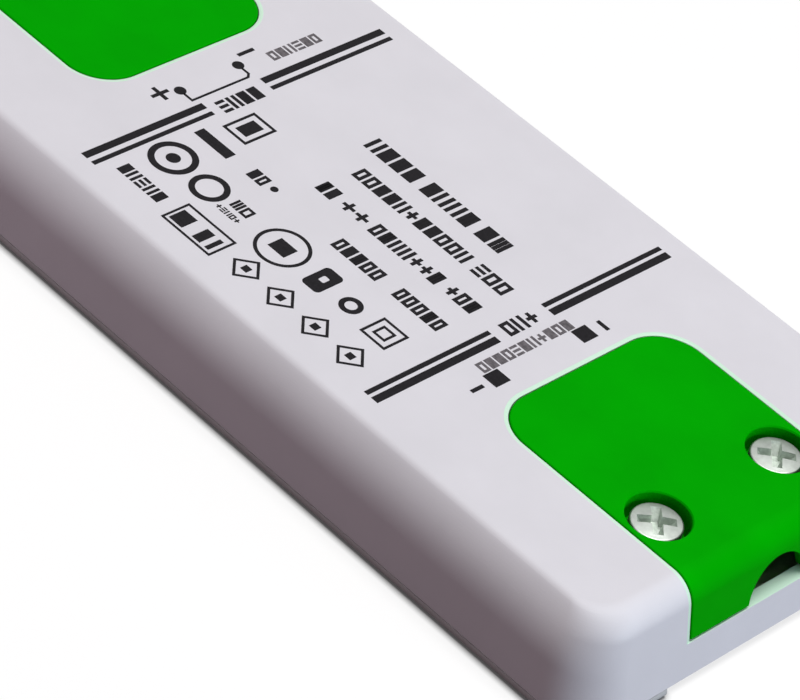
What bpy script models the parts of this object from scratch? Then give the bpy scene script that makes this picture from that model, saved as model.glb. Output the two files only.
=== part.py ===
"""Slim LED driver: a flat white housing with two screwed green terminal covers.

Sizes are in millimetres and become metres when a mesh is made. The driver lies on its
base plate, +X points to the mains end, +Z up, and the origin is the middle of the foot.
Pieces that touch on the real product keep a small named gap here.
"""

import math

import bmesh
import bpy
from mathutils import Matrix, Vector

MM = 0.001

# Housing outside
LENGTH = 120.4
WIDTH = 56.3
HEIGHT = 11.1
SIDE_DRAFT = 7.0
SHOULDER_TILT = 44.0
SHOULDER_RADIUS = 9.0
EDGE_RADIUS = 1.5
END_DRAFT = 15.0
END_RADIUS = 3.2
CORNER_RADIUS = 6.2
CORNER_TAPER = 0.6

# Housing walls
WALL = 1.5
INNER_CORNER = 1.0
ROOF = 1.5
GAP = 0.3
FLANGE = 0.8
FLOOR = 1.6
CABLE_RELIEF_HALF = 16.0
RELIEF_LIP = 0.5

# Terminal covers and the bays under them
COVER_LENGTH = 30.9
COVER_HALF_WIDTH = 12.9
COVER_CORNER = 5.0
COVER_THICKNESS = 1.6
COVER_SKIRT_Z = 5.0
COVER_GAP = 0.25
LEDGE = 1.2
BAY_WALL = 1.4
CABLE_RADIUS = 4.5
CABLE_Z = 4.2
CLAMP_RIB = 1.2
CLAMP_RIB_SIDE_GAP = 1.37
CLAMP_RIB_DEPTH = 2.6
SADDLE_HEIGHT = 1.9
SADDLE_HALF = 4.4
RIB_PITCH = 3.2
RIB_OFFSET = 2.2

# Cover screws
SCREW_FROM_END = 11.4
SCREW_EDGE = 0.63
HEAD_DIAMETER = 5.5
HEAD_HEIGHT = 2.1
HEAD_DOME = 0.3
HEAD_ROUND = 0.45
SHANK_DIAMETER = 2.9
SHANK_LENGTH = 6.2
RECESS_DIAMETER = 6.8
RECESS_DEPTH = 2.9
CUP_WALL = 0.5
CUP_FLOOR = 1.1
BOSS_DIAMETER = 6.4
CROSS_LENGTH = 3.9
CROSS_WIDTH = 0.85
CROSS_DEPTH = 1.3
CROSS_TURN = 45.0

# Circuit board
BOARD_STANDOFF = 0.8
BOARD_THICKNESS = 1.0
BOARD_CLEARANCE = 0.9
BOARD_CORNER = 2.0
BOSS_CLEARANCE = 1.0
POST_INSET = 2.7
POST_DIAMETER = 4.0
PIN_DIAMETER = 2.0
PIN_HEIGHT = 0.8
REST_INSET = 2.4
PART_GAP = 0.6
ROOF_CLEARANCE = 0.5

# Terminal blocks
BLOCK_SETBACK = 2.1
BLOCK_WALL = 1.0
BLOCK_BACK = 2.2
BLOCK_CHAMFER = 0.8
BLOCK_CLEARANCE = 0.5
POLE_PITCH = 6.2
CLAMP_LENGTH = 5.0
CLAMP_WIDTH = 4.0
CLAMP_WALL = 0.6
CLAMP_LIFT = 0.8
CLAMP_INSET = 0.9
TERMINAL_HEAD = 3.2
TERMINAL_HEAD_HEIGHT = 0.9
TERMINAL_HEAD_SINK = 0.1
TERMINAL_SHANK = 2.0
SLOT_WIDTH = 0.6
SLOT_DEPTH = 0.5

# Round capacitors
CAPACITOR_CLEARANCE = 0.85
CAPACITOR_LENGTH = 11.0
CAPACITOR_APART = 0.6
CRIMP_START = 1.2
CRIMP_WIDTH = 1.0
CRIMP_DEPTH = 0.3

# Transformer
CORE_HALF = 7.0
CORE_YOKE = 2.0
CORE_LEG = 2.1
CORE_CENTRE_HALF = 2.0
WINDING_WALL = 1.1
WINDING_CORNER = 0.9
WINDING_ROOF_GAP = 0.3
BOBBIN_PLATE = 0.5
BOBBIN_RAIL = 1.4
BOBBIN_RAIL_HEIGHT = 2.3
PIN_SIZE = 0.7
PIN_PITCH = 5.0
PIN_BELOW = 0.6

# Line choke
CHOKE_OUTER = 6.3
CHOKE_INNER = 3.8
CHOKE_EDGE = 0.3
CHOKE_WIRE = 0.5
CHOKE_SPAN = 130.0

# Other parts on the board: size along X, along Y and upwards, leads included
FUSE = (9.6, 3.6, 3.6)
VARISTOR = (8.0, 8.0, 3.6)
BRIDGE_RECTIFIER = (6.6, 5.0, 2.6)
OPTOCOUPLER = (7.6, 4.6, 3.4)
START_RESISTOR = (7.5, 2.4, 2.4)
Y_CAPACITOR = (6.4, 6.4, 3.4)
CONTROLLER = (6.0, 4.9, 1.7)
CLAMP_DIODE = (6.0, 2.6, 2.6)
OUTPUT_DIODE = (9.0, 3.6, 3.6)
BLEED_RESISTOR = (7.5, 2.4, 2.4)
X_CAPACITOR_PLAN = (12.0, 7.6)
OUTPUT_CHOKE_DIAMETER = 7.5
DRUM_RIM = 0.9
DRUM_WINDING_INSET = 0.5
MOULD_CHAMFER = 0.5
LEAD_REACH = 0.9
LEAD_THICKNESS = 0.3
LEAD_ROOT = 0.6
CHIP_STANDOFF = 0.2
WIRE_SIZE = 0.6

# Faceting
CORNER_STEPS = 7
ARC_STEPS = 5
HEAD_STEPS = 3
ROUND_STEPS = 20
SMALL_STEPS = 14

# Far enough for a cut to pass through everything
FAR = 90.0

# Heights and places that follow from the sizes above
COVER_START = LENGTH / 2 - COVER_LENGTH
SCREW_X = LENGTH / 2 - SCREW_FROM_END
SCREW_Y = COVER_HALF_WIDTH - RECESS_DIAMETER / 2 - SCREW_EDGE
RIB_X = SCREW_X + RIB_OFFSET
ROOF_UNDER = HEIGHT - ROOF
COVER_UNDER = HEIGHT - COVER_THICKNESS
RECESS_Z = HEIGHT - RECESS_DEPTH
CUP_UNDER = RECESS_Z - CUP_FLOOR
CUP_DIAMETER = RECESS_DIAMETER + 2 * CUP_WALL
CLAMP_RIB_HALF = SCREW_Y - CUP_DIAMETER / 2 - CLAMP_RIB_SIDE_GAP
SHELL_BOTTOM = FLANGE + GAP
BOARD_BOTTOM = FLOOR + BOARD_STANDOFF
BOARD_TOP = BOARD_BOTTOM + BOARD_THICKNESS
SEAT_Z = BOARD_TOP + GAP
BOARD_HALF_X = SCREW_X - BOSS_DIAMETER / 2 - BOSS_CLEARANCE
BOARD_HALF_Y = WIDTH / 2 - BOARD_TOP * math.tan(math.radians(SIDE_DRAFT)) - WALL - BOARD_CLEARANCE
POST_X = BOARD_HALF_X - POST_INSET
POST_Y = BOARD_HALF_Y - POST_INSET
REST_X = BOARD_HALF_X - REST_INSET
PART_ROOM = ROOF_UNDER - ROOF_CLEARANCE - SEAT_Z
BLOCK_START = COVER_START + LEDGE + BLOCK_SETBACK
BLOCK_FACE = BLOCK_START + BLOCK_BACK + GAP + CLAMP_LENGTH + CLAMP_INSET
BLOCK_TOP = COVER_UNDER - BLOCK_CLEARANCE
BLOCK_HALF_Y = POLE_PITCH / 2 + CLAMP_WIDTH / 2 + GAP + BLOCK_WALL
CLAMP_X = BLOCK_FACE - CLAMP_INSET - CLAMP_LENGTH / 2
CLAMP_LOW = SEAT_Z + CLAMP_LIFT
CLAMP_TOP = BLOCK_TOP - TERMINAL_HEAD_SINK - TERMINAL_HEAD_HEIGHT - GAP
CAPACITOR_DIAMETER = ROOF_UNDER - FLOOR - 2 * CAPACITOR_CLEARANCE
CAPACITOR_SPACING = CAPACITOR_LENGTH + CAPACITOR_APART
CAPACITOR_Z = 0.5 * (FLOOR + ROOF_UNDER)
CORE_LOW = SEAT_Z + BOBBIN_PLATE + GAP
CORE_HIGH = ROOF_UNDER - WINDING_ROOF_GAP - WINDING_WALL - GAP
RAIL_END = CORE_HALF + GAP + BOBBIN_RAIL
CHOKE_WRAP = GAP + CHOKE_WIRE
X_CAPACITOR = (*X_CAPACITOR_PLAN, PART_ROOM)
OUTPUT_CHOKE = (OUTPUT_CHOKE_DIAMETER, OUTPUT_CHOKE_DIAMETER, PART_ROOM)
LINE_CHOKE = (CHOKE_OUTER + 2 * CHOKE_WRAP, CHOKE_OUTER + 2 * CHOKE_WRAP, PART_ROOM)


def spread(widths, start, end):
    """Middles of pieces of these widths, laid in order between two limits with equal gaps."""
    spacing = (end - start - sum(widths)) / (len(widths) + 1)
    middles = []
    edge = start
    for width in widths:
        middles.append(edge + spacing + width / 2)
        edge += spacing + width
    return middles


MIDDLE_HALF = COVER_START - BAY_WALL - PART_GAP
MIDDLE_ROW = (CAPACITOR_DIAMETER, 2 * CORE_HALF, CAPACITOR_DIAMETER)
OUTPUT_CAPACITOR_X, TRANSFORMER_X, INPUT_CAPACITOR_X = spread(MIDDLE_ROW, -MIDDLE_HALF, MIDDLE_HALF)


def reset():
    """Empty the file of objects."""
    for obj in list(bpy.data.objects):
        bpy.data.objects.remove(obj, do_unlink=True)


def material(name, colour, roughness, metallic=0.0):
    """A Principled material of one colour."""
    mat = bpy.data.materials.new(name)
    mat.use_nodes = True
    shader = mat.node_tree.nodes["Principled BSDF"]
    shader.inputs["Base Color"].default_value = (*colour, 1.0)
    shader.inputs["Roughness"].default_value = roughness
    shader.inputs["Metallic"].default_value = metallic
    mat.diffuse_color = (*colour, 1.0)
    return mat


# Mesh tools, all in millimetres


def add_loft(bm, rings):
    """Add a closed solid through rings of equal length, listed from low to high."""
    rows = [[bm.verts.new(point) for point in ring] for ring in rings]
    count = len(rows[0])
    for low, high in zip(rows, rows[1:]):
        for i in range(count):
            j = (i + 1) % count
            bm.faces.new((low[i], low[j], high[j], high[i]))
    bm.faces.new(tuple(reversed(rows[0])))
    bm.faces.new(tuple(rows[-1]))


def add_prism(bm, outline, low, high):
    """Add an upright prism of an anticlockwise XY outline."""
    add_loft(bm, [[(x, y, z) for x, y in outline] for z in (low, high)])


def add_box(bm, low, high):
    """Add a box between two corners."""
    outline = ((low[0], low[1]), (high[0], low[1]), (high[0], high[1]), (low[0], high[1]))
    add_prism(bm, outline, low[2], high[2])


def add_mirrored_box(bm, near, far, low, high):
    """Add a box between two X distances on each side of a middle; low and high hold Y and Z."""
    for sign in (1, -1):
        first, last = sorted((sign * near, sign * far))
        add_box(bm, (first, *low), (last, *high))


def add_side_prism(bm, outline, half_width, centre_y=0.0):
    """Add a prism along Y of an XZ outline, anticlockwise as seen from -Y."""
    rings = [[(x, centre_y + side * half_width, z) for x, z in outline] for side in (-1, 1)]
    add_loft(bm, rings)


def add_turned(bm, profile, steps, place=Matrix()):
    """Add a turned solid: the profile holds (radius, height) from its top to its bottom."""
    rows = []
    for radius, height in profile:
        if radius == 0:
            rows.append([bm.verts.new(place @ Vector((0, 0, height)))])
            continue
        row = []
        for i in range(steps):
            angle = 2 * math.pi * i / steps
            point = Vector((radius * math.cos(angle), radius * math.sin(angle), height))
            row.append(bm.verts.new(place @ point))
        rows.append(row)
    for high, low in zip(rows, rows[1:]):
        for i in range(steps):
            j = (i + 1) % steps
            corners = [low[i % len(low)], low[j % len(low)], high[j % len(high)], high[i % len(high)]]
            bm.faces.new(tuple(dict.fromkeys(corners)))
    for row, flip in ((rows[0], False), (rows[-1], True)):
        if len(row) > 1:
            bm.faces.new(tuple(reversed(row)) if flip else tuple(row))


def add_sector(bm, inner, outer, low, high, middle, span, steps):
    """Add a solid ring sector of rectangular section about the origin; angles are in degrees."""
    rings = []
    for i in range(steps + 1):
        angle = math.radians(middle + span * (i / steps - 0.5))
        c, s = math.cos(angle), math.sin(angle)
        section = ((inner, low), (inner, high), (outer, high), (outer, low))
        rings.append([(r * c, r * s, z) for r, z in section])
    add_loft(bm, rings)


def at(x, y, z=0.0):
    """A placement without turning."""
    return Matrix.Translation((x, y, z))


def rounded(half_x, half_y, radius, steps=CORNER_STEPS):
    """Anticlockwise outline of a rounded rectangle about the origin."""
    outline = []
    for sign_x, sign_y, start in ((1, 1, 0), (-1, 1, 90), (-1, -1, 180), (1, -1, 270)):
        for i in range(steps + 1):
            angle = math.radians(start + 90 * i / steps)
            outline.append((sign_x * (half_x - radius) + radius * math.cos(angle),
                            sign_y * (half_y - radius) + radius * math.sin(angle)))
    return outline


def new_object(name, bm, mat=None, place=Matrix()):
    """Turn a bmesh in millimetres into an object in metres, at a placement in millimetres."""
    bm.transform(Matrix.Scale(MM, 4) @ place)
    mesh = bpy.data.meshes.new(name)
    bm.to_mesh(mesh)
    bm.free()
    obj = bpy.data.objects.new(name, mesh)
    bpy.context.scene.collection.objects.link(obj)
    if mat:
        mesh.materials.append(mat)
        mesh.shade_smooth()
        mesh.set_sharp_from_angle(angle=math.radians(35))
    return obj


def guide(name, bm, place=Matrix()):
    """A helper solid that only shapes others."""
    obj = new_object(name, bm, place=place)
    obj.hide_render = True
    obj.display_type = "WIRE"
    return obj


def combine(obj, other, operation):
    """Add a Boolean of another object to an object."""
    boolean = obj.modifiers.new(other.name, "BOOLEAN")
    boolean.operation = operation
    boolean.solver = "EXACT"
    boolean.object = other


# The two ends share their shapes: what is drawn at the mains end is turned for the output end
ENDS = {"mains": Matrix(), "output": Matrix.Rotation(math.pi, 4, "Z")}


# Outline of the housing


def shoulder_tilt(z):
    """Tilt of the side wall's surface at height z, from 0 on the flat top to the drafted wall."""
    below = HEIGHT - z
    edge_drop = EDGE_RADIUS * (1 - math.cos(math.radians(SHOULDER_TILT)))
    if below <= edge_drop:
        return math.acos(1 - below / EDGE_RADIUS)
    level = math.cos(math.radians(SHOULDER_TILT)) - (below - edge_drop) / SHOULDER_RADIUS
    return math.acos(max(level, math.sin(math.radians(SIDE_DRAFT))))


def side_levels():
    """Heights where the side wall's section changes: end of the wall, and of the shoulder."""
    tilt = math.radians(SHOULDER_TILT)
    shoulder_top = HEIGHT - EDGE_RADIUS * (1 - math.cos(tilt))
    wall_top = shoulder_top - SHOULDER_RADIUS * (math.cos(tilt) - math.sin(math.radians(SIDE_DRAFT)))
    return wall_top, shoulder_top


def side_half(z):
    """Half width of the housing at height z."""
    wall_top, shoulder_top = side_levels()
    draft = math.radians(SIDE_DRAFT)
    if z <= wall_top:
        return WIDTH / 2 - z * math.tan(draft)
    half = WIDTH / 2 - wall_top * math.tan(draft)
    tilt = shoulder_tilt(min(z, shoulder_top))
    half -= SHOULDER_RADIUS * (math.cos(draft) - math.sin(tilt))
    if z > shoulder_top:
        half -= EDGE_RADIUS * (math.sin(math.radians(SHOULDER_TILT)) - math.sin(shoulder_tilt(z)))
    return half


def end_wall_top():
    """Height where the drafted end wall meets the rounded end shoulder."""
    return HEIGHT - END_RADIUS * (1 - math.sin(math.radians(END_DRAFT)))


def end_half(z):
    """Half length of the housing at height z."""
    wall_top = end_wall_top()
    draft = math.radians(END_DRAFT)
    if z <= wall_top:
        return LENGTH / 2 - z * math.tan(draft)
    tilt = math.acos(min(1.0, 1 - (HEIGHT - z) / END_RADIUS))
    return LENGTH / 2 - wall_top * math.tan(draft) - END_RADIUS * (math.cos(draft) - math.sin(tilt))


def body_ring(z, inset=0.0):
    """Ring of the housing's outside at height z, drawn in by an inset."""
    radius = CORNER_RADIUS - CORNER_TAPER * (WIDTH / 2 - side_half(z))
    outline = rounded(end_half(z) - inset, side_half(z) - inset, max(radius - inset, INNER_CORNER))
    return [(x, y, z) for x, y in outline]


def body_levels():
    """Heights of the rings that draw both shoulders."""
    wall_top, shoulder_top = side_levels()
    levels = [SHELL_BOTTOM]
    for i in range(ARC_STEPS + 1):
        share = i / ARC_STEPS
        high = math.cos(math.radians(SHOULDER_TILT))
        low = math.sin(math.radians(SIDE_DRAFT))
        tilt = math.acos(low) + (math.acos(high) - math.acos(low)) * share
        levels.append(wall_top + SHOULDER_RADIUS * (math.cos(tilt) - low))
        tilt = math.radians((90 - END_DRAFT) * (1 - share))
        levels.append(HEIGHT - END_RADIUS * (1 - math.cos(tilt)))
    for share in (0.35, 0.7):
        tilt = math.radians(SHOULDER_TILT * share)
        levels.append(HEIGHT - EDGE_RADIUS * (1 - math.cos(tilt)))
    # Rings closer than this share of the height would only make slivers
    closest = 0.005 * HEIGHT
    kept = []
    for z in sorted(levels):
        if not kept or z - kept[-1] > closest:
            kept.append(z)
    kept[-1] = HEIGHT
    return kept


# Terminal bays, described at the mains end


def bay_outline(grow):
    """Plan outline of a cover, grown by an amount and running on past the end of the housing."""
    radius = COVER_CORNER + grow
    half = COVER_HALF_WIDTH + grow
    start = COVER_START - grow
    outline = [(FAR, half)]
    for sign, first in ((1, 90), (-1, 180)):
        for i in range(CORNER_STEPS + 1):
            angle = math.radians(first + 90 * i / CORNER_STEPS)
            outline.append((start + radius + radius * math.cos(angle),
                            sign * (half - radius) + radius * math.sin(angle)))
    outline.append((FAR, -half))
    return outline


def end_section(thickness, skirt_z, outside, start):
    """XZ section of a bent cover: its outside follows the housing, grown by an amount."""
    draft = math.radians(END_DRAFT)
    centre_x = end_half(HEIGHT)
    centre_z = HEIGHT - END_RADIUS

    def path(offset):
        points = [(start, HEIGHT + offset)]
        for i in range(ARC_STEPS + 2):
            tilt = (math.pi / 2 - draft) * i / (ARC_STEPS + 1)
            radius = END_RADIUS + offset
            points.append((centre_x + radius * math.sin(tilt), centre_z + radius * math.cos(tilt)))
        points.append((end_half(skirt_z) + offset / math.cos(draft), skirt_z))
        return points

    return path(-thickness) + list(reversed(path(outside)))


def add_cover_blank(bm, grow, thickness, skirt_z, outside):
    """Add the bent plate of a cover, square in plan."""
    section = end_section(thickness, skirt_z, outside, COVER_START - grow)
    add_side_prism(bm, section, COVER_HALF_WIDTH + grow)


def bay_cutter(name, grow, thickness, skirt_z, outside, place):
    """The bent plate of a cover with its round inner corners, as a helper."""
    plate = bmesh.new()
    add_cover_blank(plate, grow, thickness, skirt_z, outside)
    plan = bmesh.new()
    add_prism(plan, bay_outline(grow), -FAR, FAR)
    blank = guide(name, plate, place)
    combine(blank, guide(name + "_plan", plan, place), "INTERSECT")
    return blank


# White housing


def make_shell(mat):
    """Top shell: crowned walls, two cover seats, the sills under them and bay walls down to the board."""
    bm = bmesh.new()
    add_loft(bm, [body_ring(z) for z in body_levels()])
    shell = new_object("housing_shell", bm, mat)

    cavity = bmesh.new()
    wall_top, _ = side_levels()
    levels = (SHELL_BOTTOM - FLANGE, wall_top, 0.5 * (wall_top + ROOF_UNDER), end_wall_top(), ROOF_UNDER)
    add_loft(cavity, [body_ring(z, WALL) for z in levels])
    hollow = guide("cavity", cavity)
    for end, place in ENDS.items():
        walls = bmesh.new()
        add_prism(walls, bay_outline(BAY_WALL), SEAT_Z, FAR)
        room = bmesh.new()
        add_prism(room, bay_outline(-LEDGE), -FAR, FAR + BAY_WALL)
        bay = guide(f"{end}_bay_walls", walls, place)
        combine(bay, guide(f"{end}_bay_room", room, place), "DIFFERENCE")
        combine(hollow, bay, "DIFFERENCE")
    combine(shell, hollow, "DIFFERENCE")

    for end, place in ENDS.items():
        seat = bay_cutter(f"{end}_seat", COVER_GAP, COVER_THICKNESS + GAP, COVER_SKIRT_Z - GAP, WALL, place)
        combine(shell, seat, "DIFFERENCE")
        cups = bmesh.new()
        radius = CUP_DIAMETER / 2 + GAP
        for side in (1, -1):
            profile = ((radius, HEIGHT + FLANGE), (radius, SHELL_BOTTOM - FLANGE))
            add_turned(cups, profile, ROUND_STEPS, at(SCREW_X, side * SCREW_Y))
        combine(shell, guide(f"{end}_cup_room", cups, place), "DIFFERENCE")
    return shell


def make_base(mat):
    """Base plate: flange, plug, screw bosses, board posts and cable saddles."""
    bm = bmesh.new()
    add_loft(bm, [body_ring(z) for z in (0.0, FLANGE)])
    base = new_object("base_plate", bm, mat)

    relief = bmesh.new()
    inner = end_half(FLANGE) - WALL - GAP - RELIEF_LIP
    add_mirrored_box(relief, inner, FAR, (-CABLE_RELIEF_HALF, -FLANGE), (CABLE_RELIEF_HALF, 2 * FLANGE))
    combine(base, guide("cable_relief", relief), "DIFFERENCE")

    plug = bmesh.new()
    ring = body_ring(FLOOR, WALL + GAP)
    add_prism(plug, [(x, y) for x, y, _ in ring], 0.5 * FLANGE, FLOOR)
    combine(base, guide("plug", plug), "UNION")

    boss_top = CUP_UNDER - GAP
    post_top = BOARD_BOTTOM - GAP
    pilot = SHANK_DIAMETER / 2 + GAP
    boss = ((BOSS_DIAMETER / 2, boss_top), (BOSS_DIAMETER / 2, FLANGE))
    hole = ((pilot, boss_top + GAP), (pilot, FLANGE))
    rest = ((POST_DIAMETER / 2, post_top), (POST_DIAMETER / 2, FLANGE))
    post = ((PIN_DIAMETER / 2, BOARD_TOP + PIN_HEIGHT), (PIN_DIAMETER / 2, post_top), *rest)
    stands = bmesh.new()
    pilots = bmesh.new()
    for end in (1, -1):
        for side in (1, -1):
            add_turned(stands, boss, ROUND_STEPS, at(end * SCREW_X, side * SCREW_Y))
            add_turned(pilots, hole, SMALL_STEPS, at(end * SCREW_X, side * SCREW_Y))
            add_turned(stands, post, SMALL_STEPS, at(end * POST_X, side * POST_Y))
            add_turned(stands, rest, SMALL_STEPS, at(end * REST_X, side * SCREW_Y))
    for i in (0, 1):
        x = RIB_X + RIB_PITCH * (i + 0.5)
        low, high = (-SADDLE_HALF, FLANGE), (SADDLE_HALF, FLOOR + SADDLE_HEIGHT)
        add_mirrored_box(stands, x, x + CLAMP_RIB, low, high)
    combine(base, guide("stands", stands), "UNION")
    combine(base, guide("pilots", pilots), "DIFFERENCE")
    return base


def make_cover(name, mat, place):
    """Green terminal cover: bent plate, screw cups, clamp ribs and the cable notch."""
    bm = bmesh.new()
    add_cover_blank(bm, 0.0, COVER_THICKNESS, COVER_SKIRT_Z, 0.0)
    cover = new_object(name, bm, mat, place)
    plan = bmesh.new()
    add_prism(plan, bay_outline(0.0), -FAR, FAR)
    combine(cover, guide(name + "_plan", plan, place), "INTERSECT")

    cups = bmesh.new()
    ribs = bmesh.new()
    cut = bmesh.new()
    middle = HEIGHT - COVER_THICKNESS / 2
    hole = SHANK_DIAMETER / 2 + GAP
    recess = RECESS_DIAMETER / 2
    cup = ((CUP_DIAMETER / 2, middle), (CUP_DIAMETER / 2, CUP_UNDER))
    bore = ((recess, HEIGHT + GAP), (recess, RECESS_Z), (hole, RECESS_Z), (hole, CUP_UNDER - GAP))
    for side in (1, -1):
        add_turned(cups, cup, ROUND_STEPS, at(SCREW_X, side * SCREW_Y))
        add_turned(cut, bore, ROUND_STEPS, at(SCREW_X, side * SCREW_Y))
    for i in (0, 1):
        x = RIB_X + RIB_PITCH * i
        low = (x - CLAMP_RIB, -CLAMP_RIB_HALF, COVER_UNDER - CLAMP_RIB_DEPTH)
        add_box(ribs, low, (x, CLAMP_RIB_HALF, middle))
    combine(cover, guide(name + "_cups", cups, place), "UNION")
    combine(cover, guide(name + "_ribs", ribs, place), "UNION")

    notch = at(end_half(CABLE_Z), 0, CABLE_Z) @ Matrix.Rotation(math.pi / 2, 4, "Y")
    profile = ((CABLE_RADIUS, 2 * WALL), (CABLE_RADIUS, -2 * WALL))
    add_turned(cut, profile, 2 * ROUND_STEPS, notch)
    combine(cover, guide(name + "_cut", cut, place), "DIFFERENCE")
    return cover


def make_cover_screw(name, side, mat, place):
    """Pan-head screw with a cross recess, its domed head just under the cover's surface."""
    seat = RECESS_Z + GAP
    radius = HEAD_DIAMETER / 2
    shank = SHANK_DIAMETER / 2
    crown = radius - HEAD_ROUND
    rows = [(crown * share, HEAD_HEIGHT - HEAD_DOME * share ** 2) for share in (0, 0.6, 1)]
    for i in range(1, HEAD_STEPS + 1):
        angle = math.pi / 2 * i / HEAD_STEPS
        drop = HEAD_DOME + HEAD_ROUND * (1 - math.cos(angle))
        rows.append((crown + HEAD_ROUND * math.sin(angle), HEAD_HEIGHT - drop))
    rows += [(radius, 0), (shank, 0), (shank, shank - SHANK_LENGTH), (0, -SHANK_LENGTH)]
    spot = place @ at(SCREW_X, side * SCREW_Y, seat)
    bm = bmesh.new()
    add_turned(bm, rows, ROUND_STEPS)
    screw = new_object(name, bm, mat, spot)

    arm, half = CROSS_LENGTH / 2, CROSS_WIDTH / 2
    plus = []
    for k in range(4):
        turn = Matrix.Rotation(math.radians(90 * k + CROSS_TURN), 2)
        plus += [turn @ Vector(point) for point in ((arm, -half), (arm, half), (half, half))]
    rings = []
    for level, scale in ((HEAD_HEIGHT - CROSS_DEPTH, 0.45), (HEAD_HEIGHT + GAP, 1.1)):
        rings.append([(x * scale, y * scale, level) for x, y in plus])
    cross = bmesh.new()
    add_loft(cross, rings)
    combine(screw, guide(name + "_cross", cross, spot), "DIFFERENCE")
    return screw


# Circuit board and terminals


def make_board(mat):
    """Board from boss to boss, cut out for the tall parts and the posts."""
    low, high = BOARD_BOTTOM - GAP, BOARD_TOP + GAP
    bm = bmesh.new()
    add_prism(bm, rounded(BOARD_HALF_X, BOARD_HALF_Y, BOARD_CORNER, 3), BOARD_BOTTOM, BOARD_TOP)
    board = new_object("circuit_board", bm, mat)
    cut = bmesh.new()
    slot = capacitor_slot_half()
    length = (CAPACITOR_SPACING + CAPACITOR_LENGTH) / 2 + GAP
    for x in (INPUT_CAPACITOR_X, OUTPUT_CAPACITOR_X):
        add_box(cut, (x - slot, -length, low), (x + slot, length, high))
    window_x = CORE_HALF - CORE_LEG
    window_y = CORE_HALF - CORE_YOKE
    add_box(cut, (TRANSFORMER_X - window_x, -window_y, low), (TRANSFORMER_X + window_x, window_y, high))
    hole = PIN_SIZE / 2 + GAP
    for x, y in bobbin_pins():
        x += TRANSFORMER_X
        add_box(cut, (x - hole, y - hole, low), (x + hole, y + hole, high))
    radius = PIN_DIAMETER / 2 + GAP
    for end in (1, -1):
        for side in (1, -1):
            add_turned(cut, ((radius, high), (radius, low)), SMALL_STEPS, at(end * POST_X, side * POST_Y))
    combine(board, guide("board_cut", cut), "DIFFERENCE")
    return board


def pole_places():
    """Middle of each pole of a terminal block, across the driver."""
    return (POLE_PITCH / 2, -POLE_PITCH / 2)


def make_terminal_block(name, mat, place):
    """Two-pole block: a wire chamber for each pole, open to the cable, under a screw shaft."""
    section = ((BLOCK_START, SEAT_Z), (BLOCK_FACE, SEAT_Z), (BLOCK_FACE, BLOCK_TOP - 2 * BLOCK_CHAMFER),
               (BLOCK_FACE - BLOCK_CHAMFER, BLOCK_TOP), (BLOCK_START + BLOCK_CHAMFER, BLOCK_TOP),
               (BLOCK_START, BLOCK_TOP - BLOCK_CHAMFER))
    bm = bmesh.new()
    add_side_prism(bm, section, BLOCK_HALF_Y)
    block = new_object(name, bm, mat, place)
    chambers = bmesh.new()
    shafts = bmesh.new()
    half = CLAMP_WIDTH / 2 + GAP
    radius = TERMINAL_HEAD / 2 + GAP
    shaft = ((radius, BLOCK_TOP + GAP), (radius, CLAMP_TOP))
    for y in pole_places():
        low = (BLOCK_START + BLOCK_BACK, y - half, CLAMP_LOW - GAP)
        add_box(chambers, low, (BLOCK_FACE + GAP, y + half, CLAMP_TOP + GAP))
        add_turned(shafts, shaft, SMALL_STEPS, at(CLAMP_X, y))
    combine(block, guide(name + "_chambers", chambers, place), "DIFFERENCE")
    combine(block, guide(name + "_shafts", shafts, place), "DIFFERENCE")
    return block


def make_terminal_clamp(name, y, mat, place):
    """Clamp cage: a square tube for the wire with a threaded top."""
    half_x, half_y = CLAMP_LENGTH / 2, CLAMP_WIDTH / 2
    spot = place @ at(CLAMP_X, y)
    bm = bmesh.new()
    add_box(bm, (-half_x, -half_y, CLAMP_LOW), (half_x, half_y, CLAMP_TOP))
    clamp = new_object(name, bm, mat, spot)
    tube = bmesh.new()
    long, inner = half_x + GAP, half_y - CLAMP_WALL
    add_box(tube, (-long, -inner, CLAMP_LOW + CLAMP_WALL), (long, inner, CLAMP_TOP - CLAMP_WALL))
    combine(clamp, guide(name + "_tube", tube, spot), "DIFFERENCE")
    thread = bmesh.new()
    radius = TERMINAL_SHANK / 2 + GAP
    add_turned(thread, ((radius, CLAMP_TOP + GAP), (radius, CLAMP_TOP - 2 * CLAMP_WALL)), SMALL_STEPS)
    combine(clamp, guide(name + "_thread", thread, spot), "DIFFERENCE")
    return clamp


def make_terminal_screw(name, y, mat, place):
    """Slotted clamping screw over a cage, its tip half-way down the wire space."""
    head, shank = TERMINAL_HEAD / 2, TERMINAL_SHANK / 2
    seat = CLAMP_TOP + GAP
    tip = 0.5 * (CLAMP_LOW + CLAMP_TOP)
    profile = ((0.75 * head, TERMINAL_HEAD_HEIGHT), (head, 0.7 * TERMINAL_HEAD_HEIGHT), (head, 0), (shank, 0),
               (shank, tip - seat))
    spot = place @ at(CLAMP_X, y, seat)
    bm = bmesh.new()
    add_turned(bm, profile, SMALL_STEPS)
    screw = new_object(name, bm, mat, spot)
    slot = bmesh.new()
    half = SLOT_WIDTH / 2
    low = (-head - GAP, -half, TERMINAL_HEAD_HEIGHT - SLOT_DEPTH)
    add_box(slot, low, (head + GAP, half, TERMINAL_HEAD_HEIGHT + GAP))
    combine(screw, guide(name + "_slot", slot, spot), "DIFFERENCE")
    return screw


# Components


def capacitor_slot_half():
    """Half width of the slot that a pair of lying capacitors sinks into."""
    drop = CAPACITOR_Z - BOARD_TOP
    return math.sqrt((CAPACITOR_DIAMETER / 2) ** 2 - drop ** 2) + GAP


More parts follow.
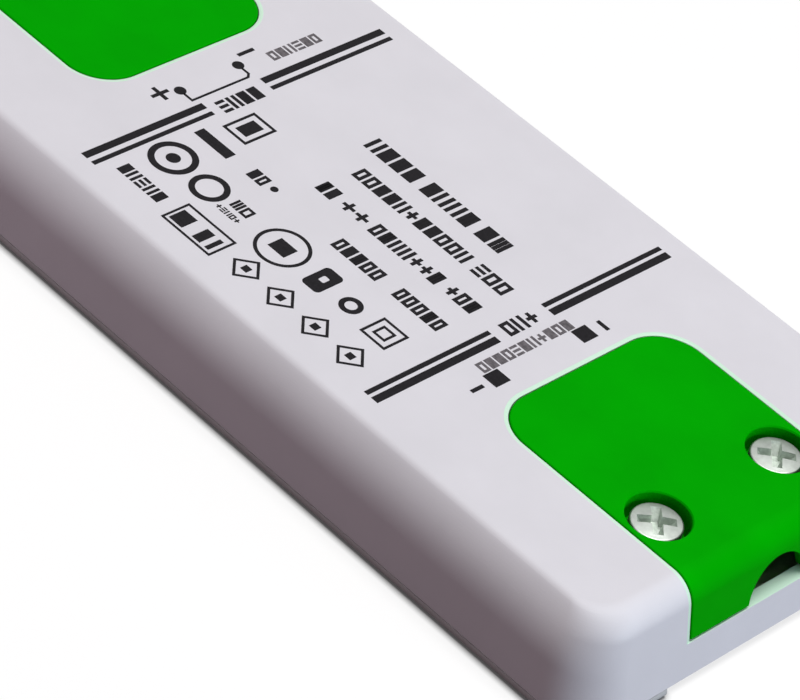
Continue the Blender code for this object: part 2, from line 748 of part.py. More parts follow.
def make_capacitor(name, x, side, mat):
    """Lying electrolytic capacitor with the crimp groove at its sealed end."""
    radius = CAPACITOR_DIAMETER / 2
    half = CAPACITOR_LENGTH / 2
    rim = radius - CRIMP_DEPTH
    profile = ((rim, half), (radius, half - CRIMP_DEPTH), (radius, CRIMP_START + CRIMP_WIDTH - half),
               (rim, CRIMP_START + CRIMP_WIDTH / 2 - half), (radius, CRIMP_START - half),
               (radius, CRIMP_DEPTH - half), (rim, -half))
    bm = bmesh.new()
    add_turned(bm, profile, SMALL_STEPS)
    turn = Matrix.Rotation(-side * math.pi / 2, 4, "X")
    return new_object(name, bm, mat, at(x, side * CAPACITOR_SPACING / 2, CAPACITOR_Z) @ turn)


def make_disc(name, size, mat, place):
    """Dipped disc part lying flat, with rounded rims."""
    radius, thickness = size[0] / 2, size[2]
    rim = 0.3 * thickness
    profile = ((radius - rim, thickness), (radius, thickness - rim), (radius, rim), (radius - rim, 0))
    bm = bmesh.new()
    add_turned(bm, profile, SMALL_STEPS)
    return new_object(name, bm, mat, place)


def make_barrel(name, size, mat, place):
    """Axial part lying on the board along its longer side, with end caps and bent wires."""
    radius = size[2] / 2
    reach = max(size[0], size[1]) / 2
    half = reach - LEAD_REACH
    cap, groove = 0.4 * half, 0.12 * radius
    profile = ((0.75 * radius, half), (radius, half - 0.3 * radius), (radius, half - cap),
               (radius - groove, half - cap - groove), (radius - groove, cap + groove - half),
               (radius, cap - half), (radius, 0.3 * radius - half), (0.75 * radius, -half))
    across = Matrix.Rotation(math.pi / 2, 4, "Y")
    if size[1] > size[0]:
        place = place @ Matrix.Rotation(math.pi / 2, 4, "Z")
    bm = bmesh.new()
    add_turned(bm, profile, SMALL_STEPS, at(0, 0, radius) @ across)
    barrel = new_object(name, bm, mat, place)
    wires = bmesh.new()
    wire = WIRE_SIZE / 2
    for sign in (1, -1):
        knee = [(half - WIRE_SIZE, radius - wire), (reach - WIRE_SIZE, radius - wire), (reach - WIRE_SIZE, 0),
                (reach, 0), (reach, radius + wire), (half - WIRE_SIZE, radius + wire)]
        outline = [(sign * x, z) for x, z in knee]
        add_side_prism(wires, outline if sign > 0 else list(reversed(outline)), wire)
    combine(barrel, guide(name + "_wires", wires, place), "UNION")
    return barrel


def make_block(name, size, mat, place):
    """Moulded block part with chamfered edges."""
    half_x, half_y, height = size[0] / 2, size[1] / 2, size[2]
    edge = MOULD_CHAMFER
    rings = []
    for z, inset in ((0, edge), (edge, 0), (height - edge, 0), (height, edge)):
        outline = rounded(half_x - inset, half_y - inset, edge, 1)
        rings.append([(x, y, z) for x, y in outline])
    bm = bmesh.new()
    add_loft(bm, rings)
    return new_object(name, bm, mat, place)


def make_chip(name, size, mat, place, leads):
    """Moulded package with gull-wing leads along its two X-facing sides."""
    tip, half_y = size[0] / 2, size[1] / 2
    side = tip - LEAD_REACH
    middle = 0.5 * (CHIP_STANDOFF + size[2])
    taper = LEAD_THICKNESS
    rings = []
    for z, inset in ((CHIP_STANDOFF, taper), (middle, 0), (size[2], taper)):
        rings.append([(x, y, z) for x, y in rounded(side - inset, half_y - inset, taper, 1)])
    bm = bmesh.new()
    add_loft(bm, rings)
    chip = new_object(name, bm, mat, place)
    wires = bmesh.new()
    pitch = size[1] / leads
    out = side + LEAD_REACH / 2
    half = LEAD_THICKNESS / 2
    for sign in (1, -1):
        wing = [(side - LEAD_ROOT, middle - half), (out - LEAD_THICKNESS, middle - half),
                (out - LEAD_THICKNESS, 0), (tip, 0), (tip, LEAD_THICKNESS), (out, LEAD_THICKNESS),
                (out, middle + half), (side - LEAD_ROOT, middle + half)]
        outline = [(sign * x, z) for x, z in wing]
        for i in range(leads):
            y = (i - (leads - 1) / 2) * pitch
            add_side_prism(wires, outline if sign > 0 else list(reversed(outline)), 0.2 * pitch, y)
    combine(chip, guide(name + "_leads", wires, place), "UNION")
    return chip


def make_drum(name, size, mat, place):
    """Drum core standing on the board, with its winding between the flanges."""
    radius, height = size[0] / 2, size[2]
    inner = radius - DRUM_WINDING_INSET
    edge = DRUM_RIM / 4
    profile = ((radius - edge, height), (radius, height - edge), (radius, height - DRUM_RIM),
               (inner, height - DRUM_RIM - edge), (inner, DRUM_RIM + edge), (radius, DRUM_RIM),
               (radius, edge), (radius - edge, 0))
    bm = bmesh.new()
    add_turned(bm, profile, SMALL_STEPS)
    return new_object(name, bm, mat, place)


def bobbin_pins():
    """Places of the transformer's pins from its middle."""
    y = CORE_HALF + GAP + BOBBIN_RAIL / 2
    return [(i * PIN_PITCH, sign * y) for sign in (1, -1) for i in (-1, 0, 1)]


def make_transformer(core_mat, winding_mat, bobbin_mat):
    """Flat transformer: a core with two windows, a taped winding round its middle leg, a bobbin."""
    place = at(TRANSFORMER_X, 0)
    near, far = CORE_CENTRE_HALF, CORE_HALF - CORE_LEG
    window_y = CORE_HALF - CORE_YOKE
    bm = bmesh.new()
    add_box(bm, (-CORE_HALF, -CORE_HALF, CORE_LOW), (CORE_HALF, CORE_HALF, CORE_HIGH))
    core = new_object("transformer_core", bm, core_mat, place)
    windows = bmesh.new()
    add_mirrored_box(windows, near, far, (-window_y, CORE_LOW - GAP), (window_y, CORE_HIGH + GAP))
    combine(core, guide("core_windows", windows, place), "DIFFERENCE")

    middle = 0.5 * (CORE_LOW + CORE_HIGH)
    hole_x, hole_z = near + GAP, (CORE_HIGH - CORE_LOW) / 2 + GAP
    section = [(x, middle + z) for x, z in rounded(far - GAP, hole_z + WINDING_WALL, WINDING_CORNER, 3)]
    coil = bmesh.new()
    add_side_prism(coil, section, window_y - GAP)
    winding = new_object("transformer_winding", coil, winding_mat, place)
    bore = bmesh.new()
    add_box(bore, (-hole_x, -window_y, middle - hole_z), (hole_x, window_y, middle + hole_z))
    combine(winding, guide("winding_bore", bore, place), "DIFFERENCE")

    plate = bmesh.new()
    add_box(plate, (-CORE_HALF, -RAIL_END, SEAT_Z), (CORE_HALF, RAIL_END, SEAT_Z + BOBBIN_PLATE))
    bobbin = new_object("transformer_bobbin", plate, bobbin_mat, place)
    rails = bmesh.new()
    low, high = (-CORE_HALF, SEAT_Z), (CORE_HALF, SEAT_Z + BOBBIN_RAIL_HEIGHT)
    add_mirrored_box(rails, CORE_HALF + GAP, RAIL_END, low, high)
    across = place @ Matrix.Rotation(math.pi / 2, 4, "Z")
    combine(bobbin, guide("bobbin_rails", rails, across), "UNION")
    pins = bmesh.new()
    size = PIN_SIZE / 2
    for x, y in bobbin_pins():
        low = (x - size, y - size, BOARD_BOTTOM - PIN_BELOW)
        add_box(pins, low, (x + size, y + size, SEAT_Z + BOBBIN_PLATE))
    combine(bobbin, guide("bobbin_posts", pins, place), "UNION")
    window = bmesh.new()
    add_box(window, (-far, -window_y, SEAT_Z - GAP), (far, window_y, SEAT_Z + 2 * BOBBIN_PLATE))
    combine(bobbin, guide("bobbin_window", window, place), "DIFFERENCE")


def make_line_choke(name, size, mat, place, wire_mat):
    """Ring core lying flat, with a winding on each half."""
    low, high = CHOKE_WRAP, size[2] - CHOKE_WRAP
    inner, outer = CHOKE_INNER / 2, CHOKE_OUTER / 2
    edge = CHOKE_EDGE
    profile = ((inner + edge, high), (outer - edge, high), (outer, high - edge), (outer, low + edge),
               (outer - edge, low), (inner + edge, low), (inner, low + edge), (inner, high - edge))
    bm = bmesh.new()
    rows = []
    for i in range(ROUND_STEPS):
        angle = 2 * math.pi * i / ROUND_STEPS
        rows.append([bm.verts.new((r * math.cos(angle), r * math.sin(angle), z)) for r, z in profile])
    for i in range(ROUND_STEPS):
        first, second = rows[i], rows[(i + 1) % ROUND_STEPS]
        for j in range(len(profile)):
            k = (j + 1) % len(profile)
            bm.faces.new((first[j], first[k], second[k], second[j]))
    bmesh.ops.recalc_face_normals(bm, faces=bm.faces)
    new_object(name + "_core", bm, mat, place)

    for number, middle in ((1, 90), (2, -90)):
        coil = bmesh.new()
        add_sector(coil, inner - CHOKE_WRAP, size[0] / 2, 0, size[2], middle, CHOKE_SPAN, ROUND_STEPS // 2)
        winding = new_object(f"{name}_winding_{number}", coil, wire_mat, place)
        tunnel = bmesh.new()
        add_sector(tunnel, inner - GAP, outer + GAP, low - GAP, high + GAP, middle, 1.1 * CHOKE_SPAN,
                   ROUND_STEPS // 2 + 1)
        combine(winding, guide(f"{name}_tunnel_{number}", tunnel, place), "DIFFERENCE")


def make_electronics(mats):
    """Board with everything on it: tall parts in the middle and a row along each long edge."""
    make_board(mats["board"])
    for number, side in ((1, 1), (2, -1)):
        make_capacitor(f"input_capacitor_{number}", INPUT_CAPACITOR_X, side, mats["sleeve"])
        make_capacitor(f"output_capacitor_{number}", OUTPUT_CAPACITOR_X, side, mats["sleeve"])
    make_transformer(mats["ferrite"], mats["tape"], mats["black"])

    # Columns from the output end to the mains end, each from the board's edge inwards
    black, ceramic, blue = mats["black"], mats["ceramic"], mats["blue"]
    rows = {
        1: (((make_barrel, "bleed_resistor", BLEED_RESISTOR, ceramic),),
            ((make_drum, "output_choke", OUTPUT_CHOKE, mats["ferrite"]),),
            ((make_disc, "y_capacitor", Y_CAPACITOR, blue),),
            ((make_chip, "optocoupler", OPTOCOUPLER, black, 2),
             (make_barrel, "start_resistor", START_RESISTOR, ceramic)),
            ((make_disc, "varistor", VARISTOR, blue),),
            ((make_barrel, "fuse", FUSE, ceramic),)),
        -1: (((make_barrel, "output_diode", OUTPUT_DIODE, black),),
             ((make_chip, "controller_ic", CONTROLLER, black, 4),
              (make_barrel, "clamp_diode", CLAMP_DIODE, black)),
             ((make_block, "x_capacitor", X_CAPACITOR, mats["yellow"]),),
             ((make_line_choke, "line_choke", LINE_CHOKE, mats["green_core"], mats["copper"]),),
             ((make_chip, "bridge_rectifier", BRIDGE_RECTIFIER, black, 2),)),
    }
    room = POST_X - PIN_DIAMETER / 2 - PART_GAP
    row_edge = side_half(SEAT_Z + PART_ROOM) - WALL - GAP
    for side, columns in rows.items():
        widths = [max(part[2][0] for part in column) for column in columns]
        for x, column in zip(spread(widths, -room, room), columns):
            edge = row_edge
            for make, name, size, mat, *extra in column:
                make(name, size, mat, at(x, side * (edge - size[1] / 2), SEAT_Z), *extra)
                edge -= size[1] + PART_GAP


def make_terminals(mats):
    """Covers, their screws and the terminal blocks of both ends."""
    for end, place in ENDS.items():
        make_cover(f"{end}_cover", mats["green"], place)
        make_terminal_block(f"{end}_terminal_block", mats["terminal"], place)
        for number, y in enumerate(pole_places(), start=1):
            side = 1 if y > 0 else -1
            make_cover_screw(f"{end}_cover_screw_{number}", side, mats["steel"], place)
            make_terminal_clamp(f"{end}_terminal_clamp_{number}", y, mats["brass"], place)
            make_terminal_screw(f"{end}_terminal_screw_{number}", y, mats["steel"], place)


def main():
    reset()
    mats = {
        "white": material("white_plastic", (0.70, 0.69, 0.73), 0.45),
        "base": material("base_plastic", (0.62, 0.61, 0.65), 0.5),
        "green": material("green_plastic", (0.0, 0.36, 0.0), 0.4),
        "steel": material("zinc_steel", (0.72, 0.73, 0.71), 0.3, 1.0),
        "board": material("board_laminate", (0.42, 0.33, 0.12), 0.6),
        "terminal": material("terminal_plastic", (0.62, 0.62, 0.6), 0.5),
        "brass": material("clamp_brass", (0.70, 0.52, 0.22), 0.35, 1.0),
        "sleeve": material("capacitor_sleeve", (0.02, 0.02, 0.03), 0.4),
        "ferrite": material("ferrite", (0.05, 0.05, 0.05), 0.7),
        "green_core": material("coated_core", (0.02, 0.18, 0.1), 0.5),
        "tape": material("winding_tape", (0.75, 0.6, 0.05), 0.5),
        "copper": material("enamelled_copper", (0.55, 0.2, 0.08), 0.35, 0.8),
        "ceramic": material("glazed_ceramic", (0.6, 0.55, 0.45), 0.4),
        "blue": material("blue_epoxy", (0.02, 0.1, 0.35), 0.4),
        "yellow": material("yellow_box", (0.7, 0.5, 0.05), 0.45),
        "black": material("black_epoxy", (0.02, 0.02, 0.02), 0.5),
    }
    make_shell(mats["white"])
    make_base(mats["base"])
    make_terminals(mats)
    make_electronics(mats)


main()
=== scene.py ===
"""Looks of the slim LED driver: fine shells and screws, printed marks, finishes, light and camera.

Shapes are drawn in millimetres in the driver's own frame and become metres when a piece is made:
+X points to the mains end, +Z up, and the driver lies on z = 0.
"""

import math
import random

import bmesh
import bpy
from mathutils import Matrix, Vector


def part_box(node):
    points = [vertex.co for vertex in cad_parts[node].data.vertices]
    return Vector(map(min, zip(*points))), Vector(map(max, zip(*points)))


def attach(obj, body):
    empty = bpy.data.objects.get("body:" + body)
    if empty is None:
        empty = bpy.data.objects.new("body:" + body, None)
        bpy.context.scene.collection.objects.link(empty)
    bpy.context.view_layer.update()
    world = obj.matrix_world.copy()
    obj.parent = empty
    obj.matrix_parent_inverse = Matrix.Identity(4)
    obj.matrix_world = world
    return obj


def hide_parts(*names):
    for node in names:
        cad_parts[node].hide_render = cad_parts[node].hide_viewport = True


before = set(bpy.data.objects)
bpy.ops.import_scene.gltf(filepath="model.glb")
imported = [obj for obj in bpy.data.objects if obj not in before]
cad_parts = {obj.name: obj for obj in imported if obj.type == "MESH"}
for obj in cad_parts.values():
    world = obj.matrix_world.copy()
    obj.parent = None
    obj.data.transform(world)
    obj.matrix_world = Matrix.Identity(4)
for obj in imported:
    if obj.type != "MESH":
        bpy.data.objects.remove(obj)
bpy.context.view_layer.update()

MM = 0.001


def box_mm(node):
    """Lowest and highest corner of a node of the frame, in millimetres."""
    return [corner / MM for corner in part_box(node)]


# Sizes that the frame gives
BASE_LOW, BASE_HIGH = box_mm("base_plate")
SHELL_LOW, SHELL_HIGH = box_mm("housing_shell")
COVER_LOW, COVER_HIGH = box_mm("mains_cover")
SCREW_LOW, SCREW_HIGH = box_mm("mains_cover_screw_1")
BOARD_LOW, BOARD_HIGH = box_mm("circuit_board")
LENGTH = BASE_HIGH.x - BASE_LOW.x
WIDTH = BASE_HIGH.y - BASE_LOW.y
HEIGHT = SHELL_HIGH.z
SHELL_BOTTOM = SHELL_LOW.z
COVER_START = COVER_LOW.x
COVER_HALF_WIDTH = COVER_HIGH.y
COVER_SKIRT_Z = COVER_LOW.z
SCREW_X = 0.5 * (SCREW_LOW.x + SCREW_HIGH.x)
SCREW_Y = 0.5 * (SCREW_LOW.y + SCREW_HIGH.y)
HEAD_DIAMETER = SCREW_HIGH.x - SCREW_LOW.x
SCREW_TOP = SCREW_HIGH.z
SCREW_TIP = SCREW_LOW.z
SEAT_Z = box_mm("mains_terminal_block")[0].z

# Housing outside
SIDE_DRAFT = math.radians(7.0)
SHOULDER_TILT = math.radians(44.0)
SHOULDER_RADIUS = 9.0
EDGE_RADIUS = 1.5
END_DRAFT = math.radians(15.0)
END_RADIUS = 3.2
CORNER_RADIUS = 6.2
CORNER_TAPER = 0.6

# Housing walls and gaps
WALL = 1.5
INNER_CORNER = 1.0
ROOF = 1.5
GAP = 0.3
FOOT_EDGE = 0.05

# Base plate
FOOT_ROUND = 0.6
SEAM_Z = 0.95
SEAM = 0.02
RELIEF_LIP = 0.5
CABLE_RELIEF_HALF = 16.0
BOARD_STANDOFF = 0.8
BOSS_DIAMETER = 6.4
POST_INSET = 2.7
POST_DIAMETER = 4.0
PIN_DIAMETER = 2.0
PIN_HEIGHT = 0.8
REST_INSET = 2.4
SADDLE_HEIGHT = 1.9
SADDLE_HALF = 4.4

# Terminal covers
COVER_CORNER = 5.0
COVER_THICKNESS = 1.6
COVER_GAP = 0.1
EDGE_ROUND = 0.18
RIM_ROUND = 0.08
RIM_WIDTH = 0.4
RIM_SLOPE = math.radians(10)
LEDGE = 1.2
BAY_WALL = 1.4
RECESS_DIAMETER = 6.8
RECESS_DEPTH = 2.9
RECESS_FLARE = 0.12
FLARE_DEPTH = 0.16
CUP_DIAMETER = 7.8
CUP_FLOOR = 1.1
CABLE_RADIUS = 4.5
CABLE_Z = 4.2
CLAMP_RIB = 1.2
CLAMP_RIB_HALF = 3.6
CLAMP_RIB_DEPTH = 2.6
RIB_PITCH = 3.2
RIB_OFFSET = 2.2

# Cover screws
HEAD_HEIGHT = 2.1
HEAD_DOME = 0.2
HEAD_ROUND = 0.26
HEAD_STEPS = 8
HEAD_EDGE = 0.12
SHANK_DIAMETER = 2.9
THREAD_PITCH = 1.1
THREAD_DEPTH = 0.35
THREAD_ROWS = 8
THREAD_SHARPNESS = 2.6
TIP_SHARE = 0.25
TIP_TURNS = 1.5
CROSS_LENGTH = 4.1
CROSS_WIDTH = 1.05
# Levels of the cross recess over the head's top, and its shares of length and width there
CROSS_LEVELS = ((-1.3, 0.5, 0.75), (-0.5, 0.88, 0.9), (0.1, 1.02, 1.06))
CROSS_TURN = {1: math.radians(43), -1: math.radians(47)}

# Fineness of the round shapes
CORNER_STEPS = 18
SHOULDER_STEPS = 18
BEND_STEPS = 15
EDGE_STEPS = 5
LIP_STEPS = 4
TURN_STEPS = 56
RING_STEPS = 56
SMOOTH_ANGLE = math.radians(30)
# Rings of the housing closer than this share of its height would only make slivers
CLOSEST_LEVELS = 0.0012

# Far enough for a cut to pass through everything
FAR = 90.0

# Printed marks
PRINT_RISE = 0.02
STRIPE_END = 21.5
THICK_STRIPE = 0.95
THIN_STRIPE = 0.6
# Each double rule: X of the thick and of the thin line, and the Y span left open in the middle
STRIPES = ((21.85, 20.65, -4.1, 3.7), (-21.55, -20.15, -4.8, 3.6))

# Shares of a row's height: stroke width, pitch and space between figures
FIGURE_STROKE = 0.22
FIGURE_PITCH = 0.78
FIGURE_SPACE = 0.14
# Rows of figures along X: start and end of each word, the row's middle and its height
TEXT_ROWS = (
    (((-8.0, -0.5), (0.4, 7.8), (8.6, 12.6)), 6.75, 2.4),
    (((-5.1, 11.7), (12.6, 17.5)), 2.0, 2.0),
    (((-5.5, -2.9), (-2.1, 1.8), (2.4, 12.6), (13.5, 17.8)), -2.9, 2.0),
    (((2.1, 9.0), (11.1, 17.9)), -7.9, 1.9),
    (((-18.3, -11.8),), -19.1, 1.7),
    (((-10.8, -8.3),), -7.9, 1.7),
    (((-8.0, -5.2),), -12.9, 1.5),
    (((-8.6, -5.2),), -14.7, 0.8),
)
# Rows of figures along Y: X of the row's middle, start and end, height
UPRIGHT_ROWS = ((21.3, -2.6, 2.3, 2.0), (-20.4, -3.6, 2.4, 2.0))
FAINT_ROWS = ((24.1, -9.0, 4.4, 1.5), (-24.3, 7.2, 14.6, 1.5))
TEXT_SEED = 11
FAINT_SEED = 3

# Symbols in the rows under the words. Fields: middle, width and depth
SYMBOL_FIELDS = (
    ((-16.2, -8.15), 5.0, 1.4), ((-16.2, -3.2), 1.7, 2.6), ((0.0, -13.5), 2.4, 2.0),
    ((-8.7, -19.3), 2.0, 2.2), ((-5.6, -19.3), 1.2, 2.2), ((-4.0, -19.3), 0.6, 2.2),
)
# Dots: middle, radius and number of sides
SYMBOL_DOTS = (((-16.6, -13.6), 0.8, 28), ((-7.4, -7.8), 0.45, 20))
# Rings: middle, outer radius and line width
SYMBOL_RINGS = (
    ((-16.6, -13.6), 2.7, 0.75), ((-11.0, -13.6), 2.2, 0.7),
    ((0.0, -13.5), 3.05, 0.42), ((10.25, -13.6), 1.3, 0.62),
)
# Frames: middle, outer width and depth, and line width
SYMBOL_FRAMES = (
    ((-16.2, -3.2), 3.6, 4.6, 0.35), ((-6.6, -19.05), 7.3, 3.9, 0.3),
    ((15.15, -13.65), 3.6, 3.6, 0.32), ((15.15, -13.65), 1.8, 1.8, 0.32),
)
# Field with round corners and its hole: middle, half width and half depth
ROUND_FIELD = ((5.85, -13.4), 1.25, 2.0)
ROUND_HOLE = ((5.85, -13.2), 0.4, 0.5)
ROUND_SHARE = 0.45
ROUND_STEPS = 6
# Row of lozenges with a square inside: middles, outer and inner reach, and side of the square
LOZENGES = ((0.5, -19.0), (5.6, -19.0), (10.7, -19.0), (15.8, -19.0))
LOZENGE_REACH = 1.95
LOZENGE_INNER_REACH = 1.5
LOZENGE_SQUARE = 0.9

# Marks beside the covers: pole squares, minus signs, and dots with their joining line
POLE_FIELDS = (
    ((26.0, 4.35), 2.0, 2.1), ((26.0, -8.45), 2.0, 2.1),
    ((26.1, 7.0), 1.6, 0.5), ((26.1, -11.3), 0.5, 1.7), ((-26.25, 5.45), 0.5, 2.3),
)
POLE_DOTS = (((-24.75, -5.35), 0.68, 28), ((-24.95, 3.15), 0.68, 28))
JOINING_LINE = ((-24.4, 3.15), (-23.3, 3.15), (-22.85, 2.7), (-22.85, -5.35), (-24.2, -5.35))
JOINING_WIDTH = 0.3
MITRE_LIMIT = 0.3
PLUS_MIDDLE = Vector((-25.45, -7.6))
PLUS_ARM = 1.15
PLUS_HALF_STROKE = 0.24

# Noise values between which a finish changes, and how far its roughness strays, as a share
NOISE_SPAN = (0.3, 0.7)
GLOSS_SPREAD = 0.12

# Stage: floor size in metres, its drop under the driver, and what it shows and throws back
FLOOR_HALF_SIZE = 3.0
FLOOR_DROP = 0.05
FLOOR_WHITE = (0.98, 0.98, 0.98, 1.0)
FLOOR_THROWN = (0.12, 0.068, 0.08, 1.0)
FLOOR_GLOW_SHARE = 0.75
PURE_WHITE = (1.0, 1.0, 1.0, 1.0)
SURROUND = (0.08, 0.056, 0.065, 1.0)
# Painted contact shadow on the floor: its width, and how openness to the sky becomes glow
PAINTED_SHADOW_WIDTH = 1.0
PAINTED_SHADOW_OPENNESS = (0.5, 0.97)
PAINTED_SHADOW_GLOW = (0.08, 1.02)

# Soft boxes: name, direction, distance and size in metres, power in watts, colour
LIGHTS = (
    ("key", (0.02, 0.15, 1.0), 1.6, 0.9, 23.4, (1.0, 1.0, 0.985)),
    ("end_fill", (1.0, 0.16, 0.21), 0.36, 0.14, 0.515, (0.73, 0.88, 1.0)),
    ("wall_fill", (-0.60, -0.85, 0.12), 0.19, 0.05, 0.022, (1.0, 0.8, 0.9)),
)

# Camera, measured on the photograph
CAMERA_AZIMUTH = math.radians(36.413)
CAMERA_ELEVATION = math.radians(39.325)
CAMERA_ROLL = math.radians(14.678)
CAMERA_LENS = 185.76
CAMERA_DISTANCE = 422.83
CAMERA_TARGET = Vector((10.31, -3.87, 0.8))


# Mesh tools, all in millimetres


def add_loft(bm, rings):
    """Add a closed solid through rings of equal length, listed from low to high."""
    rows = [[bm.verts.new(point) for point in ring] for ring in rings]
    count = len(rows[0])
    for low, high in zip(rows, rows[1:]):
        for i in range(count):
            j = (i + 1) % count
            bm.faces.new((low[i], low[j], high[j], high[i]))
    bm.faces.new(tuple(reversed(rows[0])))
    bm.faces.new(tuple(rows[-1]))


def add_prism(bm, outline, low, high):
    """Add an upright prism of an anticlockwise XY outline."""
    add_loft(bm, [[(x, y, z) for x, y in outline] for z in (low, high)])


def add_box(bm, low, high):
    """Add a box between two corners."""
    outline = ((low[0], low[1]), (high[0], low[1]), (high[0], high[1]), (low[0], high[1]))
    add_prism(bm, outline, low[2], high[2])


def add_turned(bm, profile, steps=TURN_STEPS, place=Matrix()):
    """Add a turned solid: the profile holds (radius, height) from its top to its bottom.

    A radius may be a function of the angle.
    """
    rows = []
    for radius, height in profile:
        if radius == 0:
            rows.append([bm.verts.new(place @ Vector((0, 0, height)))])
            continue
        row = []
        for i in range(steps):
            angle = 2 * math.pi * i / steps
            reach = radius(angle) if callable(radius) else radius
            point = Vector((reach * math.cos(angle), reach * math.sin(angle), height))
            row.append(bm.verts.new(place @ point))
        rows.append(row)
    for high, low in zip(rows, rows[1:]):
        for i in range(steps):
            j = (i + 1) % steps
            corners = [low[i % len(low)], low[j % len(low)], high[j % len(high)], high[i % len(high)]]
            bm.faces.new(tuple(dict.fromkeys(corners)))
    for row, flip in ((rows[0], False), (rows[-1], True)):
        if len(row) > 1:
            bm.faces.new(tuple(reversed(row)) if flip else tuple(row))


def at(x, y, z=0.0):
    """A placement without turning."""
    return Matrix.Translation((x, y, z))


def rounded(half_x, half_y, radius, steps=CORNER_STEPS):
    """Anticlockwise outline of a rounded rectangle about the origin."""
    outline = []
    for sign_x, sign_y, start in ((1, 1, 0), (-1, 1, 90), (-1, -1, 180), (1, -1, 270)):
        for i in range(steps + 1):
            angle = math.radians(start + 90 * i / steps)
            outline.append((sign_x * (half_x - radius) + radius * math.cos(angle),
                            sign_y * (half_y - radius) + radius * math.sin(angle)))
    return outline


def work_object(bm):
    """A short-lived object of a bmesh, which is used up."""
    mesh = bpy.data.meshes.new("work")
    bm.to_mesh(mesh)
    bm.free()
    # Two slots let a face keep its finish through a boolean
    for _ in range(2):
        mesh.materials.append(None)
    obj = bpy.data.objects.new("work", mesh)
    bpy.context.scene.collection.objects.link(obj)
    return obj


def joined(solid, tool, operation="DIFFERENCE"):
    """Boolean of two bmeshes, both used up, as a new bmesh."""
    first, second = work_object(solid), work_object(tool)
    boolean = first.modifiers.new("boolean", "BOOLEAN")
    boolean.operation = operation
    boolean.solver = "EXACT"
    boolean.object = second
    bpy.context.view_layer.update()
    result = bmesh.new()
    result.from_object(first, bpy.context.evaluated_depsgraph_get())
    for obj in (first, second):
        mesh = obj.data
        bpy.data.objects.remove(obj)
        bpy.data.meshes.remove(mesh)
    return result


def everything(bm):
    return bm.verts[:] + bm.edges[:] + bm.faces[:]


def new_piece(name, bm, mats, nodes=(), place=Matrix()):
    """Turn a bmesh in millimetres into a piece in metres that rides on the driver."""
    bmesh.ops.remove_doubles(bm, verts=bm.verts, dist=1e-4)
    bmesh.ops.recalc_face_normals(bm, faces=bm.faces)
    bm.transform(Matrix.Scale(MM, 4) @ place)
    mesh = bpy.data.meshes.new(name)
    bm.to_mesh(mesh)
    bm.free()
    for mat in mats:
        mesh.materials.append(mat)
    mesh.shade_smooth()
    mesh.set_sharp_from_angle(angle=SMOOTH_ANGLE)
    piece = bpy.data.objects.new(name, mesh)
    bpy.context.scene.collection.objects.link(piece)
    normals = piece.modifiers.new("flat faces stay flat", "WEIGHTED_NORMAL")
    normals.keep_sharp = True
    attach(piece, "root")
    if nodes:
        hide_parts(*nodes)
    return piece


def plus(arm, half):
    """Anticlockwise outline of a plus about the origin, with arms of the given reach and half width."""
    outline = []
    for k in range(4):
        turn = Matrix.Rotation(k * math.pi / 2, 2)
        outline += [tuple(turn @ Vector(point)) for point in ((arm, -half), (arm, half), (half, half))]
    return outline


# The two ends share their shapes: what is drawn at the mains end is turned for the output end
ENDS = {"mains": Matrix(), "output": Matrix.Rotation(math.pi, 4, "Z")}


# Outline of the housing


def side_levels():
    """Heights where the side wall's section changes: end of the wall, and of the shoulder."""
    shoulder_top = HEIGHT - EDGE_RADIUS * (1 - math.cos(SHOULDER_TILT))
    wall_top = shoulder_top - SHOULDER_RADIUS * (math.cos(SHOULDER_TILT) - math.sin(SIDE_DRAFT))
    return wall_top, shoulder_top


def shoulder_tilt(z):
    """Tilt of the side wall's surface at height z, from 0 on the flat top to the drafted wall."""
    below = HEIGHT - z
    edge_drop = EDGE_RADIUS * (1 - math.cos(SHOULDER_TILT))
    if below <= edge_drop:
        return math.acos(1 - below / EDGE_RADIUS)
    level = math.cos(SHOULDER_TILT) - (below - edge_drop) / SHOULDER_RADIUS
    return math.acos(max(level, math.sin(SIDE_DRAFT)))


def side_half(z):
    """Half width of the housing at height z."""
    wall_top, shoulder_top = side_levels()
    if z <= wall_top:
        return WIDTH / 2 - z * math.tan(SIDE_DRAFT)
    half = WIDTH / 2 - wall_top * math.tan(SIDE_DRAFT)
    tilt = shoulder_tilt(min(z, shoulder_top))
    half -= SHOULDER_RADIUS * (math.cos(SIDE_DRAFT) - math.sin(tilt))
    if z > shoulder_top:
        half -= EDGE_RADIUS * (math.sin(SHOULDER_TILT) - math.sin(shoulder_tilt(z)))
    return half


def end_wall_top():
    """Height where the drafted end wall meets the rounded end shoulder."""
    return HEIGHT - END_RADIUS * (1 - math.sin(END_DRAFT))


def end_half(z):
    """Half length of the housing at height z."""
    wall_top = end_wall_top()
    if z <= wall_top:
        return LENGTH / 2 - z * math.tan(END_DRAFT)
    tilt = math.acos(min(1.0, 1 - (HEIGHT - z) / END_RADIUS))
    return LENGTH / 2 - wall_top * math.tan(END_DRAFT) - END_RADIUS * (math.cos(END_DRAFT) - math.sin(tilt))


def body_ring(z, inset=0.0):
    """Ring of the housing's outside at height z, drawn in by an inset."""
    radius = CORNER_RADIUS - CORNER_TAPER * (WIDTH / 2 - side_half(z))
    outline = rounded(end_half(z) - inset, side_half(z) - inset, max(radius - inset, INNER_CORNER))
    return [(x, y, z) for x, y in outline]


